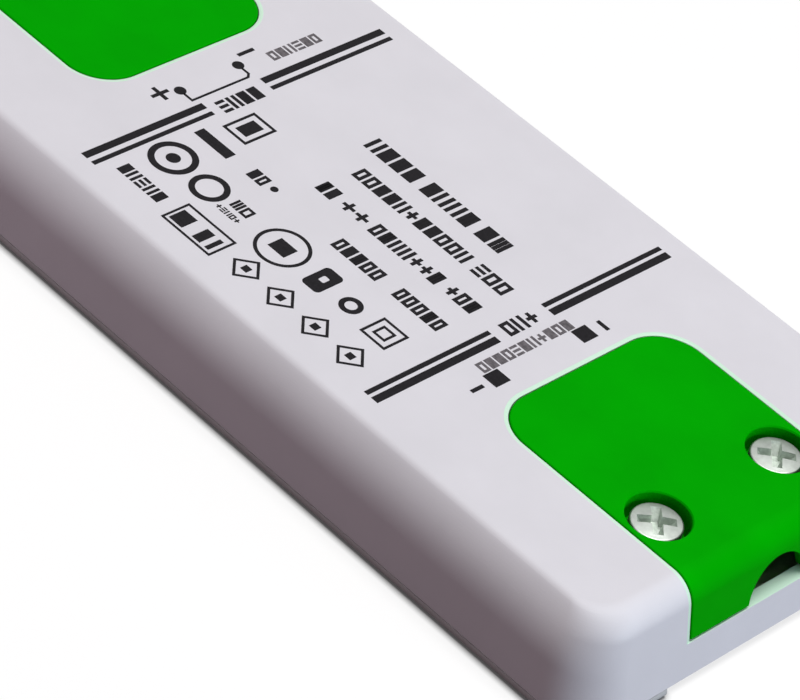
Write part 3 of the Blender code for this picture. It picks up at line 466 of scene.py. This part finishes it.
def body_levels():
    """Heights of the rings that draw both shoulders and the fine edge of the top."""
    wall_top, shoulder_top = side_levels()
    levels = [SEAM_Z + FOOT_EDGE, HEIGHT]
    turn = math.pi / 2 - END_DRAFT
    for i in range(SHOULDER_STEPS + 1):
        share = i / SHOULDER_STEPS
        tilt = SHOULDER_TILT + (math.pi / 2 - SIDE_DRAFT - SHOULDER_TILT) * share
        levels.append(wall_top + SHOULDER_RADIUS * (math.cos(tilt) - math.sin(SIDE_DRAFT)))
    for i in range(BEND_STEPS + 1):
        levels.append(HEIGHT - END_RADIUS * (1 - math.cos(turn * i / BEND_STEPS)))
    for i in range(EDGE_STEPS + 1):
        levels.append(HEIGHT - EDGE_RADIUS * (1 - math.cos(SHOULDER_TILT * i / EDGE_STEPS)))
    kept = []
    for z in sorted(levels):
        if not kept or z - kept[-1] > CLOSEST_LEVELS * HEIGHT:
            kept.append(z)
    kept[-1] = HEIGHT
    return kept


# Terminal covers and their seats, described at the mains end


def cover_plan(grow):
    """Plan outline of a cover laid flat, grown by an amount and running on past its skirt."""
    radius = COVER_CORNER + grow
    half = COVER_HALF_WIDTH + grow
    start = COVER_START - grow
    outline = [(FAR, half)]
    for sign, first in ((1, 90), (-1, 180)):
        for i in range(CORNER_STEPS + 1):
            angle = math.radians(first + 90 * i / CORNER_STEPS)
            outline.append((start + radius + radius * math.cos(angle),
                            sign * (half - radius) + radius * math.sin(angle)))
    outline.append((FAR, -half))
    return outline


def bent(s, y, rise):
    """Point at distance s along the housing's middle line, folded over the end, risen off the surface."""
    centre = end_half(HEIGHT)
    turn = math.pi / 2 - END_DRAFT
    angle = (s - centre) / END_RADIUS
    if angle <= 0:
        return s, y, HEIGHT + rise
    straight = max(0.0, s - centre - END_RADIUS * turn)
    angle = min(angle, turn)
    radius = END_RADIUS + rise
    return (centre + radius * math.sin(angle) + straight * math.sin(END_DRAFT), y,
            HEIGHT - END_RADIUS + radius * math.cos(angle) - straight * math.cos(END_DRAFT))


def bent_plate(profile, foot, highlight_above=FAR):
    """Solid folded over the end, through plan outlines given as (growth, rise), down to a flat foot.

    Faces above a given rise take the second finish, which on a seat is the rim's painted pale highlight.
    """
    bm = bmesh.new()
    add_loft(bm, [[(s, y, rise) for s, y in cover_plan(grow)] for grow, rise in profile])
    for face in bm.faces:
        face.material_index = int(face.calc_center_median().z > highlight_above)
    centre = end_half(HEIGHT)
    turn = math.pi / 2 - END_DRAFT
    for i in range(BEND_STEPS + 1):
        fold = (centre + END_RADIUS * turn * i / BEND_STEPS, 0, 0)
        bmesh.ops.bisect_plane(bm, geom=everything(bm), plane_co=fold, plane_no=(1, 0, 0))
    for vert in bm.verts:
        vert.co = bent(*vert.co)
    bmesh.ops.bisect_plane(bm, geom=everything(bm), plane_co=(0, 0, foot), plane_no=(0, 0, -1),
                           clear_outer=True)
    bmesh.ops.holes_fill(bm, edges=bm.edges, sides=0)
    return bm


def round_edge():
    """(growth, rise) of a convex rounded edge, from the side wall up to the surface."""
    points = []
    for i in range(LIP_STEPS + 1):
        angle = math.pi / 2 * i / LIP_STEPS
        points.append((EDGE_ROUND * (math.cos(angle) - 1), EDGE_ROUND * (math.sin(angle) - 1)))
    return points


def rim_edge():
    """(growth, rise) of a cutter that leaves a narrow bevelled rim with a rounded inner edge."""
    turn = math.pi / 2 - RIM_SLOPE
    drop = RIM_WIDTH * math.tan(RIM_SLOPE)
    points = []
    for i in range(LIP_STEPS + 1):
        angle = turn * i / LIP_STEPS
        points.append((RIM_ROUND * (1 - math.cos(angle)), RIM_ROUND * (math.sin(angle) - 1) - drop))
    return points + cutter_top(points[-1], turn)


def cutter_top(edge, turn):
    """Run a cutter's side on at its last tilt until it is clear of the surface, then straight up."""
    clear = 2 * (EDGE_ROUND - edge[1])
    wide = edge[0] + clear * math.tan(turn)
    return [(wide, edge[1] + clear), (wide, WALL)]


def cups_at_screws(profile):
    """Turned solids at both screws of an end."""
    bm = bmesh.new()
    for side in (1, -1):
        add_turned(bm, profile, place=at(SCREW_X, side * SCREW_Y))
    return bm


def make_shell(mat, rim_highlight_mat):
    """White top shell: crowned walls, two sunk seats whose rounded rims carry a painted pale highlight,
    sills and bay walls.
    """
    shell = bmesh.new()
    rings = [body_ring(SEAM_Z, FOOT_EDGE)] + [body_ring(z) for z in body_levels()]
    add_loft(shell, rings)

    wall_top, _ = side_levels()
    roof = HEIGHT - ROOF
    hollow = bmesh.new()
    levels = (SHELL_BOTTOM - GAP, wall_top, 0.5 * (wall_top + roof), end_wall_top(), roof)
    add_loft(hollow, [body_ring(z, WALL) for z in levels])
    for place in ENDS.values():
        walls = bmesh.new()
        add_prism(walls, cover_plan(BAY_WALL), SEAT_Z, FAR)
        room = bmesh.new()
        add_prism(room, [(x + (GAP if x == FAR else 0), y) for x, y in cover_plan(-LEDGE)], -FAR, 2 * FAR)
        bay = joined(walls, room)
        bay.transform(place)
        hollow = joined(hollow, bay)
    shell = joined(shell, hollow)

    profile = [(COVER_GAP, -COVER_THICKNESS - GAP)]
    profile += [(COVER_GAP + grow, rise) for grow, rise in rim_edge()]
    for place in ENDS.values():
        # The seat's faces above its first rim point take the rim's finish, a painted pale highlight.
        seat = bent_plate(profile, COVER_SKIRT_Z - GAP, profile[1][1])
        seat.transform(place)
        shell = joined(shell, seat)
        radius = CUP_DIAMETER / 2 + COVER_GAP
        room = cups_at_screws(((radius, HEIGHT - COVER_THICKNESS / 2), (radius, SHELL_BOTTOM - GAP)))
        room.transform(place)
        shell = joined(shell, room)
    return new_piece("shell", shell, (mat, rim_highlight_mat), ["housing_shell"])


def make_base(mat):
    """Base plate: flange with a rounded foot, plug, screw bosses, board posts and cable saddles."""
    flange = SHELL_BOTTOM - GAP
    floor = BOARD_LOW.z - BOARD_STANDOFF
    foot = []
    for i in range(LIP_STEPS + 1):
        angle = math.pi / 2 * i / LIP_STEPS
        foot.append(body_ring(FOOT_ROUND * (1 - math.cos(angle)), FOOT_ROUND * (1 - math.sin(angle))))
    base = bmesh.new()
    add_loft(base, [*foot, body_ring(SEAM_Z - SEAM)])
    relief = bmesh.new()
    near = end_half(flange) - WALL - GAP - RELIEF_LIP
    for sign in (1, -1):
        first, last = sorted((sign * near, sign * FAR))
        add_box(relief, (first, -CABLE_RELIEF_HALF, -WALL), (last, CABLE_RELIEF_HALF, 2 * flange))
    base = joined(base, relief)
    plug = bmesh.new()
    add_prism(plug, [(x, y) for x, y, _ in body_ring(floor, WALL + GAP)], 0.5 * flange, floor)
    base = joined(base, plug, "UNION")

    boss_top = HEIGHT - RECESS_DEPTH - CUP_FLOOR - GAP
    post_top = BOARD_LOW.z - GAP
    pilot = SHANK_DIAMETER / 2 + GAP
    post_x, post_y = BOARD_HIGH.x - POST_INSET, BOARD_HIGH.y - POST_INSET
    stands = bmesh.new()
    pilots = bmesh.new()
    rest = ((POST_DIAMETER / 2, post_top), (POST_DIAMETER / 2, flange))
    post = ((PIN_DIAMETER / 2, BOARD_HIGH.z + PIN_HEIGHT), (PIN_DIAMETER / 2, post_top), *rest)
    for end in (1, -1):
        for side in (1, -1):
            spot = at(end * SCREW_X, side * SCREW_Y)
            add_turned(stands, ((BOSS_DIAMETER / 2, boss_top), (BOSS_DIAMETER / 2, flange)), place=spot)
            add_turned(pilots, ((pilot, boss_top + GAP), (pilot, flange)), place=spot)
            add_turned(stands, post, place=at(end * post_x, side * post_y))
            add_turned(stands, rest, place=at(end * (BOARD_HIGH.x - REST_INSET), side * SCREW_Y))
    for i in (0, 1):
        x = SCREW_X + RIB_OFFSET + RIB_PITCH * (i + 0.5)
        for sign in (1, -1):
            first, last = sorted((sign * x, sign * (x + CLAMP_RIB)))
            add_box(stands, (first, -SADDLE_HALF, flange), (last, SADDLE_HALF, floor + SADDLE_HEIGHT))
    base = joined(base, stands, "UNION")
    base = joined(base, pilots)
    return new_piece("base", base, (mat,), ["base_plate"])


def make_cover(name, mat, place):
    """Green terminal cover: bent plate with rounded edges, screw cups, clamp ribs and the cable notch."""
    cover = bent_plate([(0.0, -COVER_THICKNESS)] + round_edge(), COVER_SKIRT_Z)
    middle = HEIGHT - COVER_THICKNESS / 2
    recess_z = HEIGHT - RECESS_DEPTH
    cup_under = recess_z - CUP_FLOOR
    cup = CUP_DIAMETER / 2
    cover = joined(cover, cups_at_screws(((cup, middle), (cup, cup_under))), "UNION")
    ribs = bmesh.new()
    rib_z = HEIGHT - COVER_THICKNESS - CLAMP_RIB_DEPTH
    for i in (0, 1):
        x = SCREW_X + RIB_OFFSET + RIB_PITCH * i
        add_box(ribs, (x - CLAMP_RIB, -CLAMP_RIB_HALF, rib_z), (x, CLAMP_RIB_HALF, middle))
    cover = joined(cover, ribs, "UNION")

    recess = RECESS_DIAMETER / 2
    hole = SHANK_DIAMETER / 2 + GAP
    bore = ((recess + 2 * RECESS_FLARE, HEIGHT + FLARE_DEPTH), (recess, HEIGHT - FLARE_DEPTH),
            (recess, recess_z), (hole, recess_z), (hole, cup_under - GAP))
    cover = joined(cover, cups_at_screws(bore))
    notch = bmesh.new()
    across = at(end_half(CABLE_Z), 0, CABLE_Z) @ Matrix.Rotation(math.pi / 2, 4, "Y")
    add_turned(notch, ((CABLE_RADIUS, 2 * WALL), (CABLE_RADIUS, -2 * WALL)), 2 * TURN_STEPS, across)
    cover = joined(cover, notch)
    return new_piece(name, cover, (mat,), [name.replace("_lid", "_cover")], place)


# Cover screws


def thread_rows(tip):
    """Rows of a shank with a helical thread, from under the head down to its pointed end."""
    crest = SHANK_DIAMETER / 2
    core = crest - THREAD_DEPTH
    count = round(-tip / THREAD_PITCH * THREAD_ROWS)
    rows = []
    for i in range(count):
        z = tip * i / count
        taper = min(1.0, (z - tip) / (THREAD_PITCH * TIP_TURNS))
        depth = THREAD_DEPTH * min(1.0, i / THREAD_ROWS) * taper

        def reach(angle, z=z, depth=depth, taper=taper):
            turns = (z / THREAD_PITCH - angle / (2 * math.pi)) % 1.0
            narrowing = TIP_SHARE + (1 - TIP_SHARE) * taper
            return core * narrowing + depth * max(0.0, 1 - THREAD_SHARPNESS * abs(turns - 0.5))

        rows.append((reach, z))
    return rows


def make_screw(name, node, side, mat, recess_light_mat, place):
    """Pan-head screw whose cross recess takes its own lighter, rougher copy of the steel as painted light
    in the recess's shade, and a coarse thread.
    """
    seat = SCREW_TOP - HEAD_HEIGHT
    radius = HEAD_DIAMETER / 2
    shoulder = HEAD_HEIGHT - HEAD_DOME - HEAD_ROUND
    dome = [(0.0, HEAD_HEIGHT)]
    for i in range(1, HEAD_STEPS + 1):
        share = i / HEAD_STEPS
        dome.append(((radius - HEAD_ROUND) * share, HEAD_HEIGHT - HEAD_DOME * share ** 2))
    for i in range(1, HEAD_STEPS + 1):
        angle = math.pi / 2 * i / HEAD_STEPS
        dome.append((radius - HEAD_ROUND * (1 - math.sin(angle)), shoulder + HEAD_ROUND * math.cos(angle)))
    skirt = ((radius, HEAD_EDGE), (radius - HEAD_EDGE, 0.0))
    body = bmesh.new()
    add_turned(body, [*dome, *skirt, *thread_rows(SCREW_TIP - seat), (0.0, SCREW_TIP - seat)])
    cross = bmesh.new()
    add_loft(cross, [
        [(x, y, HEAD_HEIGHT + level) for x, y in plus(CROSS_LENGTH / 2 * length, CROSS_WIDTH / 2 * width)]
        for level, length, width in CROSS_LEVELS])
    # Faces of the cross take the second finish: the copy of the steel that paints light into the recess's
    # shade.
    for face in cross.faces:
        face.material_index = 1
    cross.transform(Matrix.Rotation(CROSS_TURN[side], 4, "Z"))
    screw = joined(body, cross)
    spot = place @ at(SCREW_X, side * SCREW_Y, seat)
    return new_piece(name, screw, (mat, recess_light_mat), [node], spot)


# Printed marks


def polygon(centre, radius, steps):
    """Anticlockwise regular outline about a centre."""
    points = []
    for i in range(steps):
        angle = 2 * math.pi * i / steps
        points.append((centre[0] + radius * math.cos(angle), centre[1] + radius * math.sin(angle)))
    return points


def rectangle(centre, width, depth):
    """Anticlockwise rectangle about a centre."""
    (x, y), a, b = centre, width / 2, depth / 2
    return [(x - a, y - b), (x + a, y - b), (x + a, y + b), (x - a, y + b)]


def add_mark(bm, points):
    """Add a thin printed field on the housing's top, from an anticlockwise outline."""
    add_prism(bm, points, HEIGHT - PRINT_RISE, HEIGHT + PRINT_RISE)


def add_outline(bm, outer, inner):
    """Add a printed line between two outlines with as many points."""
    rows = []
    for out, near in zip(outer, inner):
        rows.append([bm.verts.new((*point, HEIGHT + z)) for point, z in (
            (near, -PRINT_RISE), (out, -PRINT_RISE), (out, PRINT_RISE), (near, PRINT_RISE))])
    for i in range(len(rows)):
        first, second = rows[i], rows[(i + 1) % len(rows)]
        for j in range(4):
            k = (j + 1) % 4
            bm.faces.new((first[j], first[k], second[k], second[j]))


def add_path(bm, points, width):
    """Add a printed line of even width along points, mitred at its corners."""
    points = [Vector(point) for point in points]
    sides = ([], [])
    for i, point in enumerate(points):
        before = (point - points[max(i - 1, 0)]).normalized()
        after = (points[min(i + 1, len(points) - 1)] - point).normalized()
        along = (before + after).normalized()
        across = Vector((-along.y, along.x))
        reach = width / 2 / max(MITRE_LIMIT, along.dot(after if after.length else before))
        sides[0].append(tuple(point - across * reach))
        sides[1].append(tuple(point + across * reach))
    add_mark(bm, sides[0] + list(reversed(sides[1])))


def add_marks(bm, fields=(), dots=(), rings=(), frames=()):
    """Add printed fields, dots, rings and frames, each listed with its middle first."""
    for middle, width, depth in fields:
        add_mark(bm, rectangle(middle, width, depth))
    for middle, radius, steps in dots:
        add_mark(bm, polygon(middle, radius, steps))
    for middle, radius, line in rings:
        add_outline(bm, polygon(middle, radius, RING_STEPS), polygon(middle, radius - line, RING_STEPS))
    for middle, width, depth, line in frames:
        inner = rectangle(middle, width - 2 * line, depth - 2 * line)
        add_outline(bm, rectangle(middle, width, depth), inner)


def figures(tu, tv):
    """Plain figures on a unit cell, each as (low u, low v, high u, high v) fields.

    A stroke takes a share tu of the cell's width and tv of its height. The box comes twice, so that
    it is drawn more often.
    """
    edges = ((0, 0, tu, 1), (1 - tu, 0, 1, 1))
    box = (*edges, (tu, 0, 1 - tu, tv), (tu, 1 - tv, 1 - tu, 1))
    posts = (*edges, (0.5 - tu / 2, 0, 0.5 + tu / 2, 1))
    bars = ((0, 0, 1, tv), (0, 0.5 - tv / 2, 1, 0.5 + tv / 2), (0, 1 - tv, 1, 1))
    cross = ((0.5 - tu / 2, 0.1, 0.5 + tu / 2, 0.9), (0, 0.5 - tv / 2, 0.5 - tu / 2, 0.5 + tv / 2),
             (0.5 + tu / 2, 0.5 - tv / 2, 1, 0.5 + tv / 2))
    block = ((0, 0, 1, 1),)
    return box, box, bars, edges, posts, cross, block


def add_figures(bm, draws, start, end, height, upright=False):
    """Fill a row with plain figures in place of words; an upright row runs along Y."""
    x, y = start
    length = (end[1] - y) if upright else (end[0] - x)
    stroke = FIGURE_STROKE * height
    count = max(1, round(length / (FIGURE_PITCH * height)))
    pitch = length / count
    width = pitch - FIGURE_SPACE * height
    for i in range(count):
        for low_u, low_v, high_u, high_v in draws.choice(figures(stroke / width, stroke / height)):
            u = i * pitch + 0.5 * (low_u + high_u) * width
            v = (0.5 * (low_v + high_v) - 0.5) * height
            size = ((high_u - low_u) * width, (high_v - low_v) * height)
            if upright:
                add_mark(bm, rectangle((x - v, y + u), size[1], size[0]))
            else:
                add_mark(bm, rectangle((x + u, y + v), *size))


def make_stripes(mat):
    """Double rules across each end of the printed field, open in the middle."""
    bm = bmesh.new()
    for thick, thin, low, high in STRIPES:
        for x, width in ((thick, THICK_STRIPE), (thin, THIN_STRIPE)):
            for start, end in ((-STRIPE_END, low), (high, STRIPE_END)):
                add_mark(bm, rectangle((x, 0.5 * (start + end)), width, end - start))
    return new_piece("print_rules", bm, (mat,))


def make_text(mat):
    """Plain figures where the words stand."""
    draws = random.Random(TEXT_SEED)
    bm = bmesh.new()
    for words, y, height in TEXT_ROWS:
        for start, end in words:
            add_figures(bm, draws, (start, y), (end, y), height)
    for x, start, end, height in UPRIGHT_ROWS:
        add_figures(bm, draws, (x, start), (x, end), height, upright=True)
    return new_piece("print_rows", bm, (mat,))


def make_faint_text(mat):
    """Plain figures beside the covers, where the words are smaller and printed fainter."""
    draws = random.Random(FAINT_SEED)
    bm = bmesh.new()
    for x, start, end, height in FAINT_ROWS:
        add_figures(bm, draws, (x, start), (x, end), height, upright=True)
    return new_piece("print_rows_faint", bm, (mat,))


def rounded_mark(centre, half_x, half_y):
    """Outline of a small upright field with round corners."""
    radius = ROUND_SHARE * half_x
    return [(centre[0] + x, centre[1] + y) for x, y in rounded(half_x, half_y, radius, ROUND_STEPS)]


def make_symbols(mat):
    """Plain rings, squares, bars and lozenges in the rows under the words."""
    bm = bmesh.new()
    add_marks(bm, SYMBOL_FIELDS, SYMBOL_DOTS, SYMBOL_RINGS, SYMBOL_FRAMES)
    add_outline(bm, rounded_mark(*ROUND_FIELD), rounded_mark(*ROUND_HOLE))
    for centre in LOZENGES:
        add_outline(bm, polygon(centre, LOZENGE_REACH, 4), polygon(centre, LOZENGE_INNER_REACH, 4))
        add_mark(bm, rectangle(centre, LOZENGE_SQUARE, LOZENGE_SQUARE))
    return new_piece("print_symbols", bm, (mat,))


def make_terminal_marks(mat):
    """Marks beside the covers: pole squares, and plus, minus, dots and their joining line."""
    bm = bmesh.new()
    add_marks(bm, POLE_FIELDS, POLE_DOTS)
    add_path(bm, JOINING_LINE, JOINING_WIDTH)
    add_mark(bm, [tuple(PLUS_MIDDLE + Vector(point)) for point in plus(PLUS_ARM, PLUS_HALF_STROKE)])
    return new_piece("print_terminal_marks", bm, (mat,))


# Finishes


def node(tree, kind, **inputs):
    """Add a node and set the sockets named with underscores for spaces."""
    made = tree.nodes.new(kind)
    for name, value in inputs.items():
        made.inputs[name.replace("_", " ")].default_value = value
    return made


def surface(name, colour, roughness, metallic=0.0, specular=0.5, mottle=0.03, patch=6.0,
            grain=0.15, relief=0.01):
    """Principled finish: mottled colour, uneven gloss and a fine relief; lengths in millimetres."""
    mat = bpy.data.materials.new(name)
    mat.use_nodes = True
    tree = mat.node_tree
    shader = tree.nodes["Principled BSDF"]
    shader.inputs["Metallic"].default_value = metallic
    shader.inputs["Specular IOR Level"].default_value = specular
    place = tree.nodes.new("ShaderNodeTexCoord")
    patches = node(tree, "ShaderNodeTexNoise", Scale=1 / (patch * MM), Detail=3.0, Roughness=0.55)
    fine = node(tree, "ShaderNodeTexNoise", Scale=1 / (grain * MM), Detail=2.0, Roughness=0.5)
    for texture in (patches, fine):
        tree.links.new(place.outputs["Object"], texture.inputs["Vector"])
    tint = tree.nodes.new("ShaderNodeValToRGB")
    ramp = tint.color_ramp.elements
    ramp[0].position, ramp[1].position = NOISE_SPAN
    ramp[0].color = (*[min(1.0, c * (1 - mottle)) for c in colour], 1.0)
    ramp[1].color = (*[min(1.0, c * (1 + mottle)) for c in colour], 1.0)
    tree.links.new(patches.outputs["Fac"], tint.inputs["Fac"])
    tree.links.new(tint.outputs["Color"], shader.inputs["Base Color"])
    gloss = node(tree, "ShaderNodeMapRange", From_Min=NOISE_SPAN[0], From_Max=NOISE_SPAN[1],
                 To_Min=roughness * (1 - GLOSS_SPREAD), To_Max=min(1.0, roughness * (1 + GLOSS_SPREAD)))
    tree.links.new(fine.outputs["Fac"], gloss.inputs["Value"])
    tree.links.new(gloss.outputs["Result"], shader.inputs["Roughness"])
    bump = node(tree, "ShaderNodeBump", Strength=0.5, Distance=relief * MM)
    tree.links.new(fine.outputs["Fac"], bump.inputs["Height"])
    tree.links.new(bump.outputs["Normal"], shader.inputs["Normal"])
    return mat


def seen_rays(tree):
    """A socket that is 1 for camera, glossy and transmission rays."""
    path = tree.nodes.new("ShaderNodeLightPath")
    value = path.outputs["Is Camera Ray"]
    for name in ("Is Glossy Ray", "Is Transmission Ray"):
        both = tree.nodes.new("ShaderNodeMath")
        both.operation = "MAXIMUM"
        tree.links.new(value, both.inputs[0])
        tree.links.new(path.outputs[name], both.inputs[1])
        value = both.outputs["Value"]
    return value


# Stage, light and camera


def make_floor():
    """Pale floor: white to the camera but with a painted contact shadow at the foot, greyer in the light
    that it throws back.
    """
    bm = bmesh.new()
    bmesh.ops.create_grid(bm, x_segments=1, y_segments=1, size=FLOOR_HALF_SIZE)
    mesh = bpy.data.meshes.new("floor")
    bm.to_mesh(mesh)
    bm.free()
    floor = bpy.data.objects.new("floor", mesh)
    bpy.context.scene.collection.objects.link(floor)
    floor.location.z = -FLOOR_DROP * MM
    mat = bpy.data.materials.new("floor_paper")
    mat.use_nodes = True
    tree = mat.node_tree
    tree.nodes.clear()
    output = tree.nodes.new("ShaderNodeOutputMaterial")
    seen = seen_rays(tree)
    thrown = node(tree, "ShaderNodeBsdfDiffuse", Color=FLOOR_THROWN)
    paper = node(tree, "ShaderNodeBsdfDiffuse", Color=FLOOR_WHITE)
    # Ambient occlusion dims the floor's glow beside the driver: a painted contact shadow over the real one.
    painted_shadow = node(tree, "ShaderNodeAmbientOcclusion", Distance=PAINTED_SHADOW_WIDTH * MM)
    fade = node(tree, "ShaderNodeMapRange", From_Min=PAINTED_SHADOW_OPENNESS[0], From_Max=PAINTED_SHADOW_OPENNESS[1],
                To_Min=PAINTED_SHADOW_GLOW[0], To_Max=PAINTED_SHADOW_GLOW[1])
    tree.links.new(painted_shadow.outputs["AO"], fade.inputs["Value"])
    glow = node(tree, "ShaderNodeEmission", Color=PURE_WHITE)
    tree.links.new(fade.outputs["Result"], glow.inputs["Strength"])
    pale = node(tree, "ShaderNodeMixShader", Fac=FLOOR_GLOW_SHARE)
    tree.links.new(paper.outputs["BSDF"], pale.inputs[1])
    tree.links.new(glow.outputs["Emission"], pale.inputs[2])
    both = tree.nodes.new("ShaderNodeMixShader")
    tree.links.new(seen, both.inputs["Fac"])
    tree.links.new(thrown.outputs["BSDF"], both.inputs[1])
    tree.links.new(pale.outputs["Shader"], both.inputs[2])
    tree.links.new(both.outputs["Shader"], output.inputs["Surface"])
    mesh.materials.append(mat)


def make_world():
    """White backdrop to the camera, with a dim warm surround in the light."""
    world = bpy.data.worlds.new("studio")
    bpy.context.scene.world = world
    world.use_nodes = True
    tree = world.node_tree
    background = tree.nodes["Background"]
    mix = tree.nodes.new("ShaderNodeMix")
    mix.data_type = "RGBA"
    mix.inputs["A"].default_value = SURROUND
    mix.inputs["B"].default_value = PURE_WHITE
    tree.links.new(seen_rays(tree), mix.inputs["Factor"])
    tree.links.new(mix.outputs["Result"], background.inputs["Color"])
    background.inputs["Strength"].default_value = 1.0


def area_light(name, direction, distance, size, power, colour):
    """Square soft box aimed at the middle of the driver; distances in metres."""
    data = bpy.data.lights.new(name, "AREA")
    data.size = size
    data.energy = power
    data.color = colour
    lamp = bpy.data.objects.new(name, data)
    bpy.context.scene.collection.objects.link(lamp)
    towards = Vector(direction).normalized()
    lamp.location = towards * distance
    lamp.rotation_mode = "QUATERNION"
    lamp.rotation_quaternion = towards.to_track_quat("Z", "Y")


def make_camera():
    """Camera at the photograph's place."""
    back = Vector((math.sin(CAMERA_AZIMUTH) * math.cos(CAMERA_ELEVATION),
                   -math.cos(CAMERA_AZIMUTH) * math.cos(CAMERA_ELEVATION), math.sin(CAMERA_ELEVATION)))
    level = Vector((math.cos(CAMERA_AZIMUTH), math.sin(CAMERA_AZIMUTH), 0.0))
    upright = back.cross(level)
    right = math.cos(CAMERA_ROLL) * level + math.sin(CAMERA_ROLL) * upright
    up = -math.sin(CAMERA_ROLL) * level + math.cos(CAMERA_ROLL) * upright
    data = bpy.data.cameras.new("camera")
    data.lens = CAMERA_LENS
    camera = bpy.data.objects.new("camera", data)
    bpy.context.scene.collection.objects.link(camera)
    turn = Matrix((right, up, back)).transposed().to_4x4()
    camera.matrix_world = Matrix.Translation((CAMERA_TARGET + CAMERA_DISTANCE * back) * MM) @ turn
    bpy.context.scene.camera = camera


white = surface("moulded_white", (0.70, 0.69, 0.735), 0.5, mottle=0.025, patch=9.0, specular=0.3)
# Pale mint on the seat rims is a painted highlight along the edges round the covers, not a colour of the
# plastic.
rim = surface("painted_highlight_rim", (0.62, 0.86, 0.69), 0.4, mottle=0.02, specular=0.4)
# The base plate is a darker, more neutral grey than the shell: partly a slightly darker plastic, partly
# painted shade along the foot.
base_painted_shade = surface("moulded_base_painted_shade", (0.54, 0.55, 0.55), 0.5, mottle=0.02, specular=0.3)
green = surface("moulded_green", (0.0, 0.375, 0.0), 0.5, mottle=0.06, patch=8.0, specular=0.015)
steel = surface("zinc_steel", (0.345, 0.37, 0.345), 0.42, metallic=1.0, mottle=0.10, patch=0.8, grain=0.05)
# The cross recess gets its own lighter, rougher copy of the head's steel: painted light that sets how
# bright the shaded recess reads, not a different metal.
recess_painted_light_steel = surface("zinc_steel_recess_painted_light", (0.47, 0.52, 0.47), 0.55, metallic=1.0, mottle=0.2, patch=0.5,
                     grain=0.05)
ink = surface("printing_ink", (0.009, 0.008, 0.010), 0.6, specular=0.08, mottle=0.3, patch=0.4)
faint_ink = surface("printing_ink_faint", (0.13, 0.12, 0.13), 0.6, specular=0.08, mottle=0.35, patch=0.4)

make_shell(white, rim)
make_base(base_painted_shade)
for end, turn in ENDS.items():
    make_cover(f"{end}_lid", green, turn)
    for number, side in ((1, 1), (2, -1)):
        replaced = f"{end}_cover_screw_{number}"
        make_screw(f"{end}_lid_screw_{number}", replaced, side, steel, recess_painted_light_steel, turn)
make_stripes(ink)
make_text(ink)
make_faint_text(faint_ink)
make_symbols(ink)
make_terminal_marks(ink)

# Finishes of the pieces inside, which keep their shapes: colour, roughness, metallic and mottle
INNER_FINISHES = {
    "board_laminate": ((0.42, 0.33, 0.12), 0.55, 0.0, 0.10),
    "terminal_plastic": ((0.62, 0.62, 0.60), 0.5, 0.0, 0.03),
    "clamp_brass": ((0.70, 0.52, 0.22), 0.35, 1.0, 0.08),
    "terminal_steel": ((0.66, 0.68, 0.66), 0.3, 1.0, 0.06),
    "capacitor_sleeve": ((0.02, 0.02, 0.03), 0.35, 0.0, 0.15),
    "ferrite": ((0.05, 0.05, 0.05), 0.75, 0.0, 0.25),
    "coated_core": ((0.02, 0.18, 0.10), 0.45, 0.0, 0.10),
    "winding_tape": ((0.75, 0.60, 0.05), 0.4, 0.0, 0.06),
    "enamelled_copper": ((0.55, 0.20, 0.08), 0.35, 0.8, 0.12),
    "glazed_ceramic": ((0.60, 0.55, 0.45), 0.35, 0.0, 0.05),
    "blue_epoxy": ((0.02, 0.10, 0.35), 0.3, 0.0, 0.10),
    "yellow_box": ((0.70, 0.50, 0.05), 0.45, 0.0, 0.04),
    "black_epoxy": ((0.02, 0.02, 0.02), 0.5, 0.0, 0.15),
}
# Which inner piece has which finish, by the words of its name
FINISH_WORDS = {
    "board": "board_laminate", "terminal_block": "terminal_plastic", "terminal_clamp": "clamp_brass",
    "terminal_screw": "terminal_steel", "put_capacitor": "capacitor_sleeve", "transformer_core": "ferrite",
    "output_choke": "ferrite", "choke_core": "coated_core", "transformer_winding": "winding_tape",
    "choke_winding": "enamelled_copper", "fuse": "glazed_ceramic", "resistor": "glazed_ceramic",
    "varistor": "blue_epoxy", "y_capacitor": "blue_epoxy", "x_capacitor": "yellow_box",
}


def finish_inner_pieces():
    """Give every piece that keeps its shape a procedural finish in place of its plain one."""
    finishes = {}
    for name, (colour, roughness, metallic, mottle) in INNER_FINISHES.items():
        finishes[name] = surface(name, colour, roughness, metallic, mottle=mottle, patch=1.5, grain=0.1)
    for name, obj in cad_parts.items():
        found = [finish for words, finish in FINISH_WORDS.items() if words in name]
        obj.data.materials.clear()
        obj.data.materials.append(finishes[found[0] if found else "black_epoxy"])


finish_inner_pieces()

make_floor()
make_world()
for light in LIGHTS:
    area_light(*light)
make_camera()
bpy.context.scene.view_settings.view_transform = "Standard"
